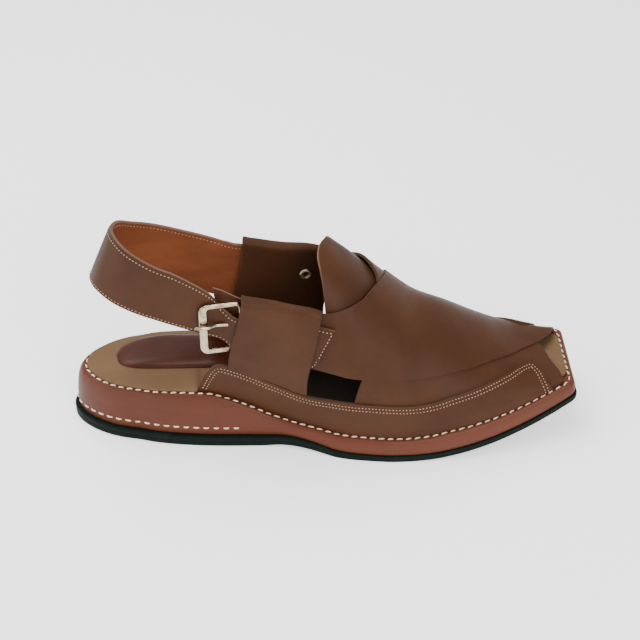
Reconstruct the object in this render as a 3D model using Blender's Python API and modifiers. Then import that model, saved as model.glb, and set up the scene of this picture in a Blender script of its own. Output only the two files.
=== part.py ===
"""Peshawari chappal, right foot: a leather sandal with two crossed bands over a wedge sole.

The toe points along +X, the inner (medial) side is +Y, and +Z is up. Lengths are metres.
Every piece is worked out in a frame that starts at the back of the heel on the floor, and
hangs on an empty that puts the origin under the middle of the heel.
"""
import math

import bmesh
import bpy
import numpy as np
from mathutils import Matrix, Vector

# Sizes of the sole
LENGTH = 0.290
HEEL_WIDTH = 0.071
BALL_WIDTH = 0.103
HEEL_CENTRE = 0.045
HEEL_RADIUS = 0.037
TOE_CORNER = 0.003
SEAT_HEIGHT = 0.033
TREAD_HEIGHT = 0.0132
TOE_SPRING = 0.0205
SPRING_START = 0.655
SPRING_POWER = 1.7
ARCH_RISE = 0.0025
ARCH_START = 0.36
ARCH_SPAN = 0.17
HEEL_RUBBER = 0.0068
FORE_RUBBER = 0.0041
RIM_WIDTH = 0.005
RUBBER_CHAMFER = 0.0008
WALL_FOOT_HEEL = 0.0026
WALL_FOOT_FORE = 0.0012
WALL_CHANGE = (0.55, 0.35)
RIM_ROUND = 0.0014
INSOLE_THICK = 0.0016
PAD_HEIGHT = 0.0030
PAD_WIDTH = 0.062

# Sizes of the last, the foot shape that the upper is drawn over
INSTEP_HEIGHT = 0.100
RIDGE_ASIDE = 0.004
UPPER_SET_IN = 0.005

# Sizes of the leather work
LEATHER = 0.0018
FUSED = 0.0007
TONGUE_THICK = 0.0018
STRAP_THICK = 0.0020
SLOT_PLAY = 0.0005
GAP = 0.0003
TONGUE_GAP = 0.0011
HEM_THICK = 0.0063
EDGE_GAP = 0.0005
STRAP_DROP = 0.095
GUARD_DIP = -0.0016

# Sizes of the buckle and the rivet
FRAME_LONG = 0.0245
FRAME_TALL = 0.0345
FRAME_THICK = 0.0017
FRAME_SIDE = 0.0027
FRAME_FLAT_BAR = 0.0046
FRAME_CORNER = 0.0045
FRAME_EASE = 0.0005
PRONG_RADIUS = 0.0011
RIVET_SHANK = 0.0024
RIVET_BORE = 0.0016
RIVET_FLANGE = 0.0036
RIVET_RIM = 0.0008
HOLE_REACH = 3


def table(names, *rows):
    """Columns by name, from one row for each section or fold."""
    return dict(zip(names.split(), np.array(rows, dtype=float).T))


# Half widths of the outsole: a share of the heel width plus a share of the ball width
OUTLINE = table(
    "along  heel_lateral  ball_lateral  heel_medial  ball_medial",
    (0.000, 0.338, 0.000, 0.338, 0.000),
    (0.069, 0.380, 0.000, 0.380, 0.000),
    (0.128, 0.416, 0.000, 0.416, 0.000),
    (0.172, 0.465, 0.000, 0.465, 0.000),
    (0.224, 0.500, 0.000, 0.493, 0.000),
    (0.286, 0.521, 0.000, 0.500, 0.000),
    (0.345, 0.528, 0.000, 0.490, 0.000),
    (0.397, 0.440, 0.070, 0.430, 0.038),
    (0.448, 0.180, 0.284, 0.200, 0.208),
    (0.507, 0.000, 0.461, 0.040, 0.348),
    (0.569, 0.000, 0.505, 0.000, 0.418),
    (0.638, 0.000, 0.524, 0.000, 0.461),
    (0.700, 0.000, 0.519, 0.000, 0.474),
    (0.755, 0.000, 0.500, 0.000, 0.473),
    (0.817, 0.000, 0.461, 0.000, 0.449),
    (0.883, 0.000, 0.398, 0.000, 0.406),
    (0.948, 0.000, 0.320, 0.000, 0.335),
    (1.000, 0.000, 0.248, 0.000, 0.267),
)

# Height of the sole's rim over its underside, and thickness of the rubber
RISE = table(
    "along  seat  tread",
    (0.000, 1.00, 0.00),
    (0.276, 1.00, 0.00),
    (0.303, 0.94, 0.00),
    (0.334, 0.81, 0.06),
    (0.369, 0.60, 0.22),
    (0.403, 0.36, 0.40),
    (0.438, 0.17, 0.61),
    (0.472, 0.06, 0.84),
    (0.517, 0.00, 1.03),
    (0.655, 0.00, 1.00),
    (0.703, 0.00, 1.03),
    (0.748, 0.00, 1.10),
    (0.860, 0.00, 1.06),
    (0.930, 0.00, 1.03),
    (1.000, 0.00, 0.94),
)
RUBBER = table(
    "along  heel  fore",
    (0.00, 1.0, 0.0),
    (0.33, 1.0, 0.0),
    (0.46, 0.5, 0.5),
    (0.60, 0.0, 1.0),
    (1.00, 0.0, 1.0),
)

# How far the rim seam lies inside the outline, as shares of the rim width
SEAM = table(
    "along  inset",
    (0.000, 1.80),
    (0.052, 1.20),
    (0.141, 1.06),
    (0.241, 1.44),
    (0.345, 1.30),
    (0.448, 1.10),
    (0.552, 1.00),
    (1.000, 1.00),
)

# The leather side of the sole, from the rubber up to its rounded edge
WALL = table(
    "rise  inward",
    (0.00, 0.00),
    (0.20, -0.06),
    (0.50, 0.06),
    (0.76, 0.26),
    (0.93, 0.58),
    (1.00, 1.00),
)

# Where the insole draws in to clear the wall of the upper
INSOLE = table(
    "along  behind_wall",
    (0.000, 0.0),
    (0.238, 0.0),
    (0.252, 1.0),
    (1.000, 1.0),
)

# The padded heel seat, nearer to the medial side, as shares of length and pad width
PAD = table(
    "along  near  far",
    (0.090, 0.070, 0.080),
    (0.094, -0.020, 0.175),
    (0.103, -0.080, 0.255),
    (0.120, -0.118, 0.330),
    (0.145, -0.136, 0.390),
    (0.185, -0.142, 0.425),
    (0.235, -0.143, 0.415),
    (0.285, -0.140, 0.375),
    (0.330, -0.130, 0.320),
    (0.365, -0.105, 0.270),
    (0.385, -0.060, 0.215),
    (0.393, 0.060, 0.100),
)
PAD_DOME = table(
    "scale  rise",
    (1.00, 0.00),
    (1.00, 0.28),
    (0.93, 0.56),
    (0.78, 0.80),
    (0.52, 0.94),
    (0.24, 1.00),
)

# The last: height of its ridge over the rim, how square its section is, and its set-in
LAST = table(
    "along  ridge  fullness  set_in",
    (0.259, 0.950, 5.00, 1.00),
    (0.345, 1.000, 5.00, 1.00),
    (0.414, 1.065, 4.00, 1.00),
    (0.466, 1.048, 3.20, 0.90),
    (0.507, 0.995, 2.80, 0.82),
    (0.541, 0.920, 2.55, 0.70),
    (0.572, 0.840, 2.35, 0.60),
    (0.603, 0.750, 2.25, 0.58),
    (0.638, 0.670, 2.20, 0.58),
    (0.679, 0.576, 2.10, 0.58),
    (0.721, 0.500, 2.10, 0.58),
    (0.755, 0.425, 2.10, 0.58),
    (0.786, 0.350, 2.10, 0.58),
    (0.821, 0.268, 2.10, 0.58),
    (0.859, 0.185, 2.20, 0.58),
    (0.893, 0.120, 2.50, 0.58),
    (0.928, 0.072, 2.90, 0.58),
    (0.962, 0.048, 3.30, 0.58),
    (1.000, 0.040, 3.50, 0.58),
)

# Ribs of the crossed bands, from the rim where each is lasted to its end under a strap:
# along the length and across from its own rim, at its rear and at its front edge
OUTER_BAND = table(
    "rear_along  rear_across  front_along  front_across",
    (0.545, 0.000, 0.976, 0.000),
    (0.556, 0.097, 0.971, 0.120),
    (0.570, 0.177, 0.965, 0.217),
    (0.593, 0.240, 0.952, 0.300),
    (0.614, 0.320, 0.937, 0.385),
    (0.619, 0.400, 0.903, 0.510),
    (0.614, 0.458, 0.864, 0.626),
    (0.599, 0.522, 0.801, 0.719),
    (0.576, 0.591, 0.742, 0.760),
    (0.561, 0.620, 0.669, 0.785),
    (0.534, 0.655, 0.570, 0.819),
    (0.499, 0.683, 0.479, 0.838),
    (0.431, 0.700, 0.417, 0.850),
)
INNER_BAND = table(
    "rear_along  rear_across  front_along  front_across",
    (0.545, 0.000, 0.969, 0.000),
    (0.556, 0.097, 0.964, 0.129),
    (0.570, 0.177, 0.960, 0.197),
    (0.590, 0.240, 0.951, 0.330),
    (0.606, 0.320, 0.944, 0.470),
    (0.610, 0.400, 0.937, 0.580),
    (0.607, 0.450, 0.915, 0.690),
    (0.602, 0.495, 0.862, 0.770),
    (0.587, 0.524, 0.800, 0.800),
    (0.565, 0.560, 0.724, 0.815),
    (0.538, 0.640, 0.614, 0.825),
    (0.499, 0.700, 0.479, 0.838),
    (0.431, 0.700, 0.417, 0.850),
)

# Where the outer band climbs onto the inner one
CLIMB_ALONG = (0.524, 0.552)
CLIMB_ACROSS = (0.08, 0.16)

# The side straps, from the rim to the fold at their top
STRAP_OUTSIDE = table(
    "rear_along  rear_across  front_along  front_across",
    (0.316, 0.000, 0.466, 0.000),
    (0.318, 0.110, 0.470, 0.110),
    (0.327, 0.180, 0.479, 0.180),
    (0.337, 0.235, 0.488, 0.240),
    (0.343, 0.280, 0.493, 0.295),
    (0.346, 0.316, 0.495, 0.328),
)
STRAP_LINING = table(
    "rear_along  rear_across  front_along  front_across",
    (0.319, 0.000, 0.460, 0.000),
    (0.320, 0.110, 0.464, 0.110),
    (0.329, 0.180, 0.472, 0.180),
    (0.339, 0.235, 0.480, 0.240),
    (0.345, 0.280, 0.485, 0.295),
    (0.348, 0.313, 0.487, 0.323),
)
GUARD = table(
    "rear_along  rear_across  front_along  front_across",
    (0.327, 0.185, 0.372, 0.185),
    (0.318, 0.225, 0.372, 0.225),
    (0.308, 0.262, 0.372, 0.260),
    (0.298, 0.306, 0.372, 0.292),
)
GUARD_BEND = (0.345, 0.305)
STRAP_HEM = table(
    "rear_along  rear_across  front_along  front_across",
    (0.346, 0.304, 0.4945, 0.314),
    (0.346, 0.3165, 0.495, 0.3285),
)

# How far the outside of a strap stands off: fused at its foot, open where a strap runs through
STRAP_OPENING = table("across  open", (0.0, 0.0), (0.045, 0.0), (0.100, 0.4), (0.152, 1.0), (1.0, 1.0))
STRAP_STACK = table("along  buckle", (0.0, 1.0), (0.362, 1.0), (0.398, 0.0), (1.0, 0.0))

# The side bands round the foot of the upper: how high their top edge stands
SIDE_BAND = table(
    "foot_along  foot_across  edge_along  edge_across",
    (0.255, 0.000, 0.257, 0.006),
    (0.268, 0.000, 0.272, 0.048),
    (0.284, 0.000, 0.287, 0.080),
    (0.302, 0.000, 0.303, 0.092),
    (0.330, 0.000, 0.330, 0.093),
    (0.375, 0.000, 0.375, 0.091),
    (0.420, 0.000, 0.420, 0.088),
    (0.470, 0.000, 0.470, 0.084),
    (0.530, 0.000, 0.530, 0.096),
    (0.600, 0.000, 0.600, 0.112),
    (0.680, 0.000, 0.680, 0.126),
    (0.740, 0.000, 0.740, 0.146),
    (0.800, 0.000, 0.800, 0.176),
    (0.850, 0.000, 0.850, 0.222),
    (0.888, 0.000, 0.886, 0.285),
    (0.918, 0.000, 0.909, 0.300),
    (0.934, 0.000, 0.926, 0.210),
    (0.943, 0.000, 0.936, 0.080),
)
BAND_LAPS = table("along  foot  edge", (0.0, 1.5, 2.1), (0.48, 1.5, 2.1), (0.524, 1.0, 1.0), (1.0, 1.0, 1.0))
BAND_EDGE = 0.09

# The peaked tongue under the crossing, from the lateral to the medial side
TONGUE = table(
    "rear_along  rear_across  front_along  front_across",
    (0.5015, 0.330, 0.575, 0.330),
    (0.4995, 0.376, 0.615, 0.376),
    (0.4965, 0.414, 0.640, 0.414),
    (0.4930, 0.450, 0.655, 0.450),
    (0.4955, 0.486, 0.663, 0.486),
    (0.5060, 0.512, 0.665, 0.512),
    (0.5100, 0.530, 0.664, 0.530),
    (0.5130, 0.548, 0.661, 0.548),
    (0.5160, 0.574, 0.655, 0.574),
    (0.5190, 0.610, 0.640, 0.610),
    (0.5210, 0.646, 0.612, 0.646),
    (0.5220, 0.675, 0.570, 0.675),
)

# The heel strap where it lies in the side straps: along and across, lower and upper edge
STRAP_IN_LATERAL = table(
    "low_along  low_across  high_along  high_across  buckle",
    (0.491, 0.198, 0.520, 0.289, 0.0),
    (0.479, 0.172, 0.507, 0.287, 0.0),
    (0.460, 0.168, 0.478, 0.282, 0.0),
    (0.430, 0.166, 0.440, 0.276, 0.0),
    (0.398, 0.166, 0.398, 0.269, 0.0),
    (0.362, 0.163, 0.362, 0.258, 1.0),
    (0.335, 0.160, 0.335, 0.250, 1.0),
)
STRAP_IN_MEDIAL = table(
    "low_along  low_across  high_along  high_across  buckle",
    (0.345, 0.180, 0.345, 0.292, 0.0),
    (0.380, 0.178, 0.380, 0.288, 0.0),
    (0.420, 0.176, 0.420, 0.284, 0.0),
    (0.460, 0.176, 0.460, 0.282, 0.0),
    (0.476, 0.178, 0.476, 0.282, 0.0),
)

# The heel strap round the back: aside as shares of the heel width, heights of the strap drop
STRAP_ROUND = table(
    "low_along  low_aside  low_height  high_along  high_aside  high_height",
    (0.309, -0.390, 0.743, 0.306, -0.360, 0.965),
    (0.278, -0.390, 0.780, 0.283, -0.372, 1.065),
    (0.240, -0.394, 0.828, 0.229, -0.376, 1.183),
    (0.183, -0.382, 0.892, 0.193, -0.362, 1.232),
    (0.142, -0.345, 0.928, 0.161, -0.317, 1.274),
    (0.106, -0.283, 0.963, 0.136, -0.238, 1.300),
    (0.079, -0.190, 0.992, 0.118, -0.132, 1.318),
    (0.067, -0.102, 0.998, 0.111, -0.056, 1.325),
    (0.062, 0.000, 0.990, 0.109, 0.010, 1.322),
    (0.068, 0.112, 0.980, 0.118, 0.132, 1.295),
    (0.082, 0.197, 0.968, 0.140, 0.224, 1.242),
    (0.108, 0.283, 0.937, 0.180, 0.315, 1.180),
    (0.143, 0.344, 0.895, 0.240, 0.368, 1.102),
    (0.184, 0.376, 0.853, 0.290, 0.384, 1.045),
    (0.240, 0.380, 0.790, 0.314, 0.358, 1.010),
    (0.305, 0.362, 0.737, 0.330, 0.352, 0.993),
)

# Where the buckle turns on its pivot bar, the prong's route, and the rivet
PIVOT_ALONG = 0.345
PIVOT_ACROSS = (0.145, 0.285)
PRONG = table(
    "along  out  up",
    (0.115, 0.00, -0.020),
    (0.330, 0.10, -0.012),
    (0.480, 0.45, -0.005),
    (0.630, 1.40, 0.003),
    (0.850, 2.15, 0.018),
    (1.120, 2.15, 0.036),
    (1.240, 1.80, 0.044),
)
RIVET_ALONG = 0.469
RIVET_ACROSS = 0.252

# Meshing: steps along and across each form
SOLE_STEPS = 34
HEEL_STEPS = 7
CORNER_STEPS = 3
SECTION_STEPS = 96
BAND_STEPS = 14
STRAP_STEPS = 4
BUCKLE_STEPS = 4
RIVET_STEPS = 16


def smooth(columns, name, at, key="along"):
    """A column read between its rows on a curve that never overshoots them."""
    xs, ys = columns[key], columns[name]
    step = np.diff(xs)
    slope = np.diff(ys) / step
    tangent = np.zeros(len(xs))
    tangent[0], tangent[-1] = slope[0], slope[-1]
    product = slope[:-1] * slope[1:]
    total = np.where(product > 0, slope[:-1] + slope[1:], 1.0)
    tangent[1:-1] = np.where(product > 0, 2 * product / total, 0.0)
    at = np.clip(at, xs[0], xs[-1])
    row = np.clip(np.searchsorted(xs, at) - 1, 0, len(xs) - 2)
    u = (at - xs[row]) / step[row]
    rise = (3 - 2 * u) * u * u
    lean_in = u * (1 - u) ** 2 * step[row] * tangent[row]
    lean_out = u * u * (1 - u) * step[row] * tangent[row + 1]
    return ys[row] * (1 - rise) + ys[row + 1] * rise + lean_in - lean_out


def through(points, steps):
    """Points on a smooth curve through the rows of an array, steps to each span."""
    ends = np.concatenate([2 * points[:1] - points[1:2], points, 2 * points[-1:] - points[-2:-1]])
    curve = []
    for span in range(len(points) - 1):
        a, b, c, d = ends[span:span + 4]
        for k in range(steps):
            u = k / steps
            curve.append(0.5 * (2 * b + (c - a) * u + (2 * a - 5 * b + 4 * c - d) * u ** 2
                                + (3 * b - a - 3 * c + d) * u ** 3))
    curve.append(points[-1])
    return np.array(curve)


def ramp(value, start, end):
    """From 0 at start to 1 at end, eased at both."""
    u = np.clip((value - start) / (end - start), 0, 1)
    return u * u * (3 - 2 * u)


# Heights along the sole

def underside(x):
    spring = np.clip((x / LENGTH - SPRING_START) / (1 - SPRING_START), 0, None) ** SPRING_POWER
    arch = np.sin(math.pi * np.clip((x / LENGTH - ARCH_START) / ARCH_SPAN, 0, 1)) ** 2
    return TOE_SPRING * spring + ARCH_RISE * arch


def rubber_top(x):
    share = x / LENGTH
    thick = smooth(RUBBER, "heel", share) * HEEL_RUBBER + smooth(RUBBER, "fore", share) * FORE_RUBBER
    return underside(x) + thick


def rim(x):
    share = x / LENGTH
    rise = smooth(RISE, "seat", share) * SEAT_HEIGHT + smooth(RISE, "tread", share) * TREAD_HEIGHT
    return underside(x) + rise


def seam_inset(x):
    return smooth(SEAM, "inset", x / LENGTH) * RIM_WIDTH


def half_width(x, side):
    share = x / LENGTH
    heel = smooth(OUTLINE, "heel_" + side, share) * HEEL_WIDTH
    return heel + smooth(OUTLINE, "ball_" + side, share) * BALL_WIDTH


# Solids of the sole

def stations():
    """Shares of the length, close together where the heel and the toe corners turn."""
    heel = HEEL_RADIUS * (1 - np.cos(np.linspace(0, math.pi / 2, HEEL_STEPS + 1)))
    middle = np.linspace(HEEL_RADIUS, LENGTH - TOE_CORNER, SOLE_STEPS + 1)[1:]
    corner = LENGTH - TOE_CORNER * (1 - np.sin(np.linspace(0, math.pi / 2, CORNER_STEPS + 1)))[1:]
    return np.concatenate([heel, middle, corner]) / LENGTH


def sole_ring(inset, heel_inset, toe_inset, height):
    """The outline drawn in by inset(x), at height(x): heel point, lateral side, medial side."""
    shares = stations()
    xs = heel_inset + (LENGTH - heel_inset - toe_inset) * shares
    turn = np.clip((xs - heel_inset) / (HEEL_RADIUS - heel_inset), 0, 1)
    heel_round = np.sqrt(1 - (1 - turn) ** 2)
    past_corner = np.clip((shares * LENGTH - LENGTH + TOE_CORNER) / TOE_CORNER, 0, 1)
    corner = TOE_CORNER * (1 - np.sqrt(1 - past_corner ** 2))
    rows = []
    for side, sign in (("lateral", -1), ("medial", 1)):
        ys = (half_width(xs, side) - inset(xs)) * heel_round - corner
        rows.append(np.stack([xs, sign * ys, height(xs)], axis=1))
    lateral, medial = rows
    return np.concatenate([lateral[:1], lateral[1:], medial[:0:-1]])


def stacked(name, rings):
    """A closed solid from rings of equal length, each cap a ladder from side to side."""
    count = len(rings[0])
    half = (count - 1) // 2
    faces = []
    for level in range(len(rings) - 1):
        low, high = level * count, (level + 1) * count
        for k in range(count):
            after = (k + 1) % count
            faces.append((low + k, low + after, high + after, high + k))
    for base, upward in ((0, False), ((len(rings) - 1) * count, True)):
        for k in range(half):
            right, left = base + k, base + (count - k) % count
            rung = [right, right + 1, base + count - k - 1]
            if k:
                rung.append(left)
            faces.append(tuple(rung) if upward else tuple(reversed(rung)))
    return mesh_object(name, np.concatenate(rings), faces)


def make_outsole():
    edge = RUBBER_CHAMFER

    def inset(amount):
        return lambda xs: np.full_like(xs, amount)

    levels = (
        (edge, underside),
        (0.0, lambda xs: underside(xs) + edge),
        (0.0, lambda xs: rubber_top(xs) - edge),
        (edge, rubber_top),
    )
    rings = [sole_ring(inset(step), step, step, height) for step, height in levels]
    return stacked("outsole", rings)


def make_midsole():
    rings = []
    for rise, inward in zip(WALL["rise"], WALL["inward"]):

        def inset(xs):
            heel_share = ramp(xs / LENGTH, *WALL_CHANGE)
            foot = WALL_FOOT_HEEL * heel_share + WALL_FOOT_FORE * (1 - heel_share)
            return foot + (seam_inset(xs) - RIM_ROUND - foot) * inward

        def height(xs):
            low = rubber_top(xs) + GAP
            return low + (rim(xs) - low) * rise

        ends = inset(np.array([0.0, LENGTH]))
        rings.append(sole_ring(inset, ends[0], ends[1], height))
    return stacked("midsole", rings)


def make_insole():
    def inset(xs):
        behind = smooth(INSOLE, "behind_wall", xs / LENGTH)
        return seam_inset(xs) + EDGE_GAP + behind * (UPPER_SET_IN + FUSED)

    ends = seam_inset(np.array([0.0, LENGTH])) + EDGE_GAP
    rings = []
    for step in (GAP, GAP + INSOLE_THICK):
        rings.append(sole_ring(inset, ends[0], ends[1], lambda xs: rim(xs) + step))
    return stacked("insole", rings)


def make_heel_pad():
    """A cushion with a domed top, cut narrower where the upper begins."""
    shares = PAD["along"]
    fine = np.interp(np.linspace(0, len(shares) - 1, 2 * len(shares) - 1),
                     np.arange(len(shares)), shares)
    middle_x = (fine[0] + fine[-1]) / 2
    rings = []
    for scale, rise in zip(PAD_DOME["scale"], PAD_DOME["rise"]):
        near, far = smooth(PAD, "near", fine), smooth(PAD, "far", fine)
        middle, half = (near + far) / 2, (far - near) / 2 * scale
        xs = LENGTH * (middle_x + (fine - middle_x) * scale)
        zs = rim(xs) + INSOLE_THICK + 2 * GAP + PAD_HEIGHT * rise
        near_row = np.stack([xs, (middle - half) * PAD_WIDTH, zs], axis=1)
        far_row = np.stack([xs, (middle + half) * PAD_WIDTH, zs], axis=1)
        tip = (near_row[:1] + far_row[:1]) / 2
        rings.append(np.concatenate([tip, near_row[1:], far_row[:0:-1]]))
    return stacked("heel_pad", rings)


# The last

def last_section(x):
    """Side to side over the last at x: aside, height and share of the girth so far."""
    share = x / LENGTH
    set_in = seam_inset(x) + smooth(LAST, "set_in", share) * UPPER_SET_IN
    lateral = half_width(x, "lateral") - set_in
    medial = half_width(x, "medial") - set_in
    foot = rim(x) + EDGE_GAP
    height = smooth(LAST, "ridge", share) * INSTEP_HEIGHT
    power = 2 / smooth(LAST, "fullness", share)
    turn = np.linspace(0, math.pi, SECTION_STEPS + 1)
    across, up = np.cos(turn), np.sin(turn)
    reach = np.where(across > 0, lateral + RIDGE_ASIDE, medial - RIDGE_ASIDE)
    ys = RIDGE_ASIDE - np.sign(across) * np.abs(across) ** power * reach
    zs = foot + height * np.abs(up) ** power
    girth = np.concatenate([[0], np.cumsum(np.hypot(np.diff(ys), np.diff(zs)))])
    return ys, zs, girth / girth[-1]


def on_last(along, across):
    """The point at shares of the length and of the girth, counted from the lateral rim."""
    ys, zs, girth = last_section(along * LENGTH)
    return np.array([along * LENGTH, np.interp(across, girth, ys), np.interp(across, girth, zs)])


def lifted(along, across, lift):
    """That point moved off the last by lift, square to its surface."""
    nudge = 0.003
    ahead = on_last(along + nudge, across) - on_last(along - nudge, across)
    low, high = max(across - 3 * nudge, 0), min(across + 3 * nudge, 1)
    around = on_last(along, high) - on_last(along, low)
    normal = np.cross(ahead, around)
    return on_last(along, across) + normal / np.linalg.norm(normal) * lift


# Leather work

def ribs_between(ribs, span_steps, rib_steps, first, second):
    """Shares along and across at each knot of a net between two edges of a piece."""
    columns = [ribs[first + "_along"], ribs[first + "_across"],
               ribs[second + "_along"], ribs[second + "_across"]]
    rows = through(np.array(columns).T, span_steps)
    blend = np.linspace(0, 1, rib_steps + 1)[:, None]
    return [row[:2] * (1 - blend) + row[2:] * blend for row in rows]


def leather_piece(name, knots, lift, thick, from_medial=False):
    """A net of knots laid over the last at lift(along, across), thickened outwards."""
    verts = []
    for row in knots:
        for along, across in row:
            side = 1 - across if from_medial else across
            verts.append(lifted(along, side, lift(along, across)))
    width = len(knots[0])
    faces = []
    for i in range(len(knots) - 1):
        for j in range(width - 1):
            k = i * width + j
            faces.append((k, k + 1, k + width + 1, k + width))
    piece = mesh_object(name, verts, faces)
    outward = lifted(*side_of(knots, from_medial), LEATHER) - lifted(*side_of(knots, from_medial), 0)
    middle = piece.data.polygons[len(faces) // 2]
    if middle.normal.dot(Vector(outward)) < 0:
        piece.data.flip_normals()
    shell = piece.modifiers.new("leather", "SOLIDIFY")
    shell.thickness = thick
    shell.offset = 1
    return piece


def side_of(knots, from_medial):
    """Where the middle face of a net lies on the last."""
    row = knots[len(knots) // 2]
    along, across = row[len(row) // 2]
    return along, (1 - across if from_medial else across)


def strap_lift(along, across, with_buckle):
    """Clear of what runs under the strap's outside, down to fused at its foot."""
    lap = LEATHER - FUSED
    buckle = smooth(STRAP_STACK, "buckle", along) * with_buckle
    plain = LEATHER + STRAP_THICK + 2 * SLOT_PLAY
    stacked_up = lap + FRAME_THICK + STRAP_THICK + 3 * SLOT_PLAY
    open_lift = plain + (stacked_up - plain) * buckle
    opened = smooth(STRAP_OPENING, "open", across, "across")
    return FUSED + (open_lift - FUSED) * opened


def heel_strap_lift(buckle):
    plain = LEATHER + SLOT_PLAY
    return plain + (LEATHER - FUSED + FRAME_THICK + 2 * SLOT_PLAY - plain) * buckle


def make_upper():
    """Two crossed bands, two double side straps, a guard and two side bands in one shell."""
    lap = LEATHER - FUSED

    def outer_band_lift(along, across):
        return lap * ramp(along, *CLIMB_ALONG) * ramp(across, *CLIMB_ACROSS)

    def side_band_lift(along, across):
        foot, edge = smooth(BAND_LAPS, "foot", along), smooth(BAND_LAPS, "edge", along)
        return lap * (foot + (edge - foot) * ramp(across, 0.0, BAND_EDGE))

    def guard_lift(along, across):
        return GUARD_DIP * ramp(along, *GUARD_BEND) - FUSED / 3

    inner = leather_piece("upper", ribs_between(INNER_BAND, 2, BAND_STEPS, "rear", "front"),
                          lambda along, across: 0.0, LEATHER)
    pieces = [leather_piece("outer_band", ribs_between(OUTER_BAND, 2, BAND_STEPS, "rear", "front"),
                            outer_band_lift, LEATHER, from_medial=True)]
    guard_knots = ribs_between(GUARD, 1, 3, "rear", "front")
    pieces.append(leather_piece("guard", guard_knots, guard_lift, LEATHER - FUSED))
    for side, medial in (("lateral", False), ("medial", True)):
        with_buckle = 0.0 if medial else 1.0

        def outside_lift(along, across):
            return strap_lift(along, across, with_buckle)

        def hem_lift(along, across):
            return strap_lift(along, across, with_buckle) + LEATHER / 2 - HEM_THICK

        def band_lift(along, across):
            under = outer_band_lift(along, across) if medial else 0.0
            return side_band_lift(along, across) + under

        lining = leather_piece(side + "_lining", ribs_between(STRAP_LINING, 2, 6, "rear", "front"),
                               lambda along, across: -FUSED, LEATHER, medial)
        outside = leather_piece(side + "_strap", ribs_between(STRAP_OUTSIDE, 3, 6, "rear", "front"),
                                outside_lift, LEATHER, medial)
        hem = leather_piece(side + "_hem", ribs_between(STRAP_HEM, 1, 6, "rear", "front"),
                            hem_lift, HEM_THICK, medial)
        band = leather_piece(side + "_band", ribs_between(SIDE_BAND, 2, 3, "foot", "edge"),
                             band_lift, LEATHER, medial)
        pieces += [lining, outside, hem, band]
    for piece in pieces:
        join(inner, piece)
    return inner


def make_tongue():
    knots = ribs_between(TONGUE, 2, 6, "rear", "front")
    return leather_piece("tongue", knots, lambda along, across: -TONGUE_GAP - TONGUE_THICK, TONGUE_THICK)


def strap_rows():
    """The heel strap's rows of points, from its tail, round the heel, to the medial strap."""
    blends = np.linspace(0, 1, STRAP_STEPS + 1)
    rows = []

    def in_strap(rib, from_medial):
        low = np.array([rib["low_along"], rib["low_across"]])
        high = np.array([rib["high_along"], rib["high_across"]])
        row = []
        for blend in blends:
            along, across = low * (1 - blend) + high * blend
            side = 1 - across if from_medial else across
            row.append(lifted(along, side, heel_strap_lift(rib["buckle"])))
        return row

    for rib in each_row(STRAP_IN_LATERAL):
        rows.append(in_strap(rib, False))
    for rib in each_row(STRAP_ROUND):
        low = np.array([rib["low_along"] * LENGTH, rib["low_aside"] * HEEL_WIDTH,
                        rib["low_height"] * STRAP_DROP])
        high = np.array([rib["high_along"] * LENGTH, rib["high_aside"] * HEEL_WIDTH,
                         rib["high_height"] * STRAP_DROP])
        rows.append([low * (1 - blend) + high * blend for blend in blends])
    for rib in each_row(STRAP_IN_MEDIAL):
        rows.append(in_strap(rib, True))
    return through(np.array(rows), 2)


def each_row(columns):
    for k in range(len(next(iter(columns.values())))):
        yield {name: column[k] for name, column in columns.items()}


def make_heel_strap():
    rows = strap_rows()
    width = rows.shape[1]
    faces = []
    for i in range(len(rows) - 1):
        for j in range(width - 1):
            k = i * width + j
            faces.append((k, k + 1, k + width + 1, k + width))
    strap = mesh_object("heel_strap", rows.reshape(-1, 3), faces)
    if strap.data.polygons[len(faces) // 2].normal.x > 0:
        strap.data.flip_normals()
    shell = strap.modifiers.new("leather", "SOLIDIFY")
    shell.thickness = STRAP_THICK
    shell.offset = 1
    return strap


# Buckle and rivet

def frame_space():
    """Axes of the buckle: from the pivot bar to the flat bar, outwards, and up the bars."""
    middle = LEATHER - FUSED + SLOT_PLAY + FRAME_THICK / 2
    low, high = (lifted(PIVOT_ALONG, across, middle) for across in PIVOT_ACROSS)
    pivot = (low + high) / 2
    over_strap = STRAP_THICK + 2 * SLOT_PLAY + FRAME_THICK / 2
    span = FRAME_LONG - FRAME_FLAT_BAR / 2 - FRAME_SIDE / 2
    strap_aside = np.interp((pivot[0] - span) / LENGTH, STRAP_ROUND["low_along"][1::-1],
                            STRAP_ROUND["low_aside"][1::-1])
    flat = np.array([pivot[0] - span, strap_aside * HEEL_WIDTH - over_strap, pivot[2]])
    up = Vector(high - low).normalized()
    back = Vector(flat - pivot).normalized()
    outwards = up.cross(back).normalized()
    up = back.cross(outwards).normalized()
    space = Matrix((back, outwards, up)).transposed().to_4x4()
    space.translation = Vector(pivot)
    return space, span


def rounded_rectangle(low_x, high_x, low_z, high_z, corner):
    points = []
    for cx, cz, start in ((high_x - corner, high_z - corner, 0), (low_x + corner, high_z - corner, 90),
                          (low_x + corner, low_z + corner, 180), (high_x - corner, low_z + corner, 270)):
        for k in range(BUCKLE_STEPS + 1):
            turn = math.radians(start + 90 * k / BUCKLE_STEPS)
            points.append((cx + corner * math.cos(turn), cz + corner * math.sin(turn)))
    return points


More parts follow.
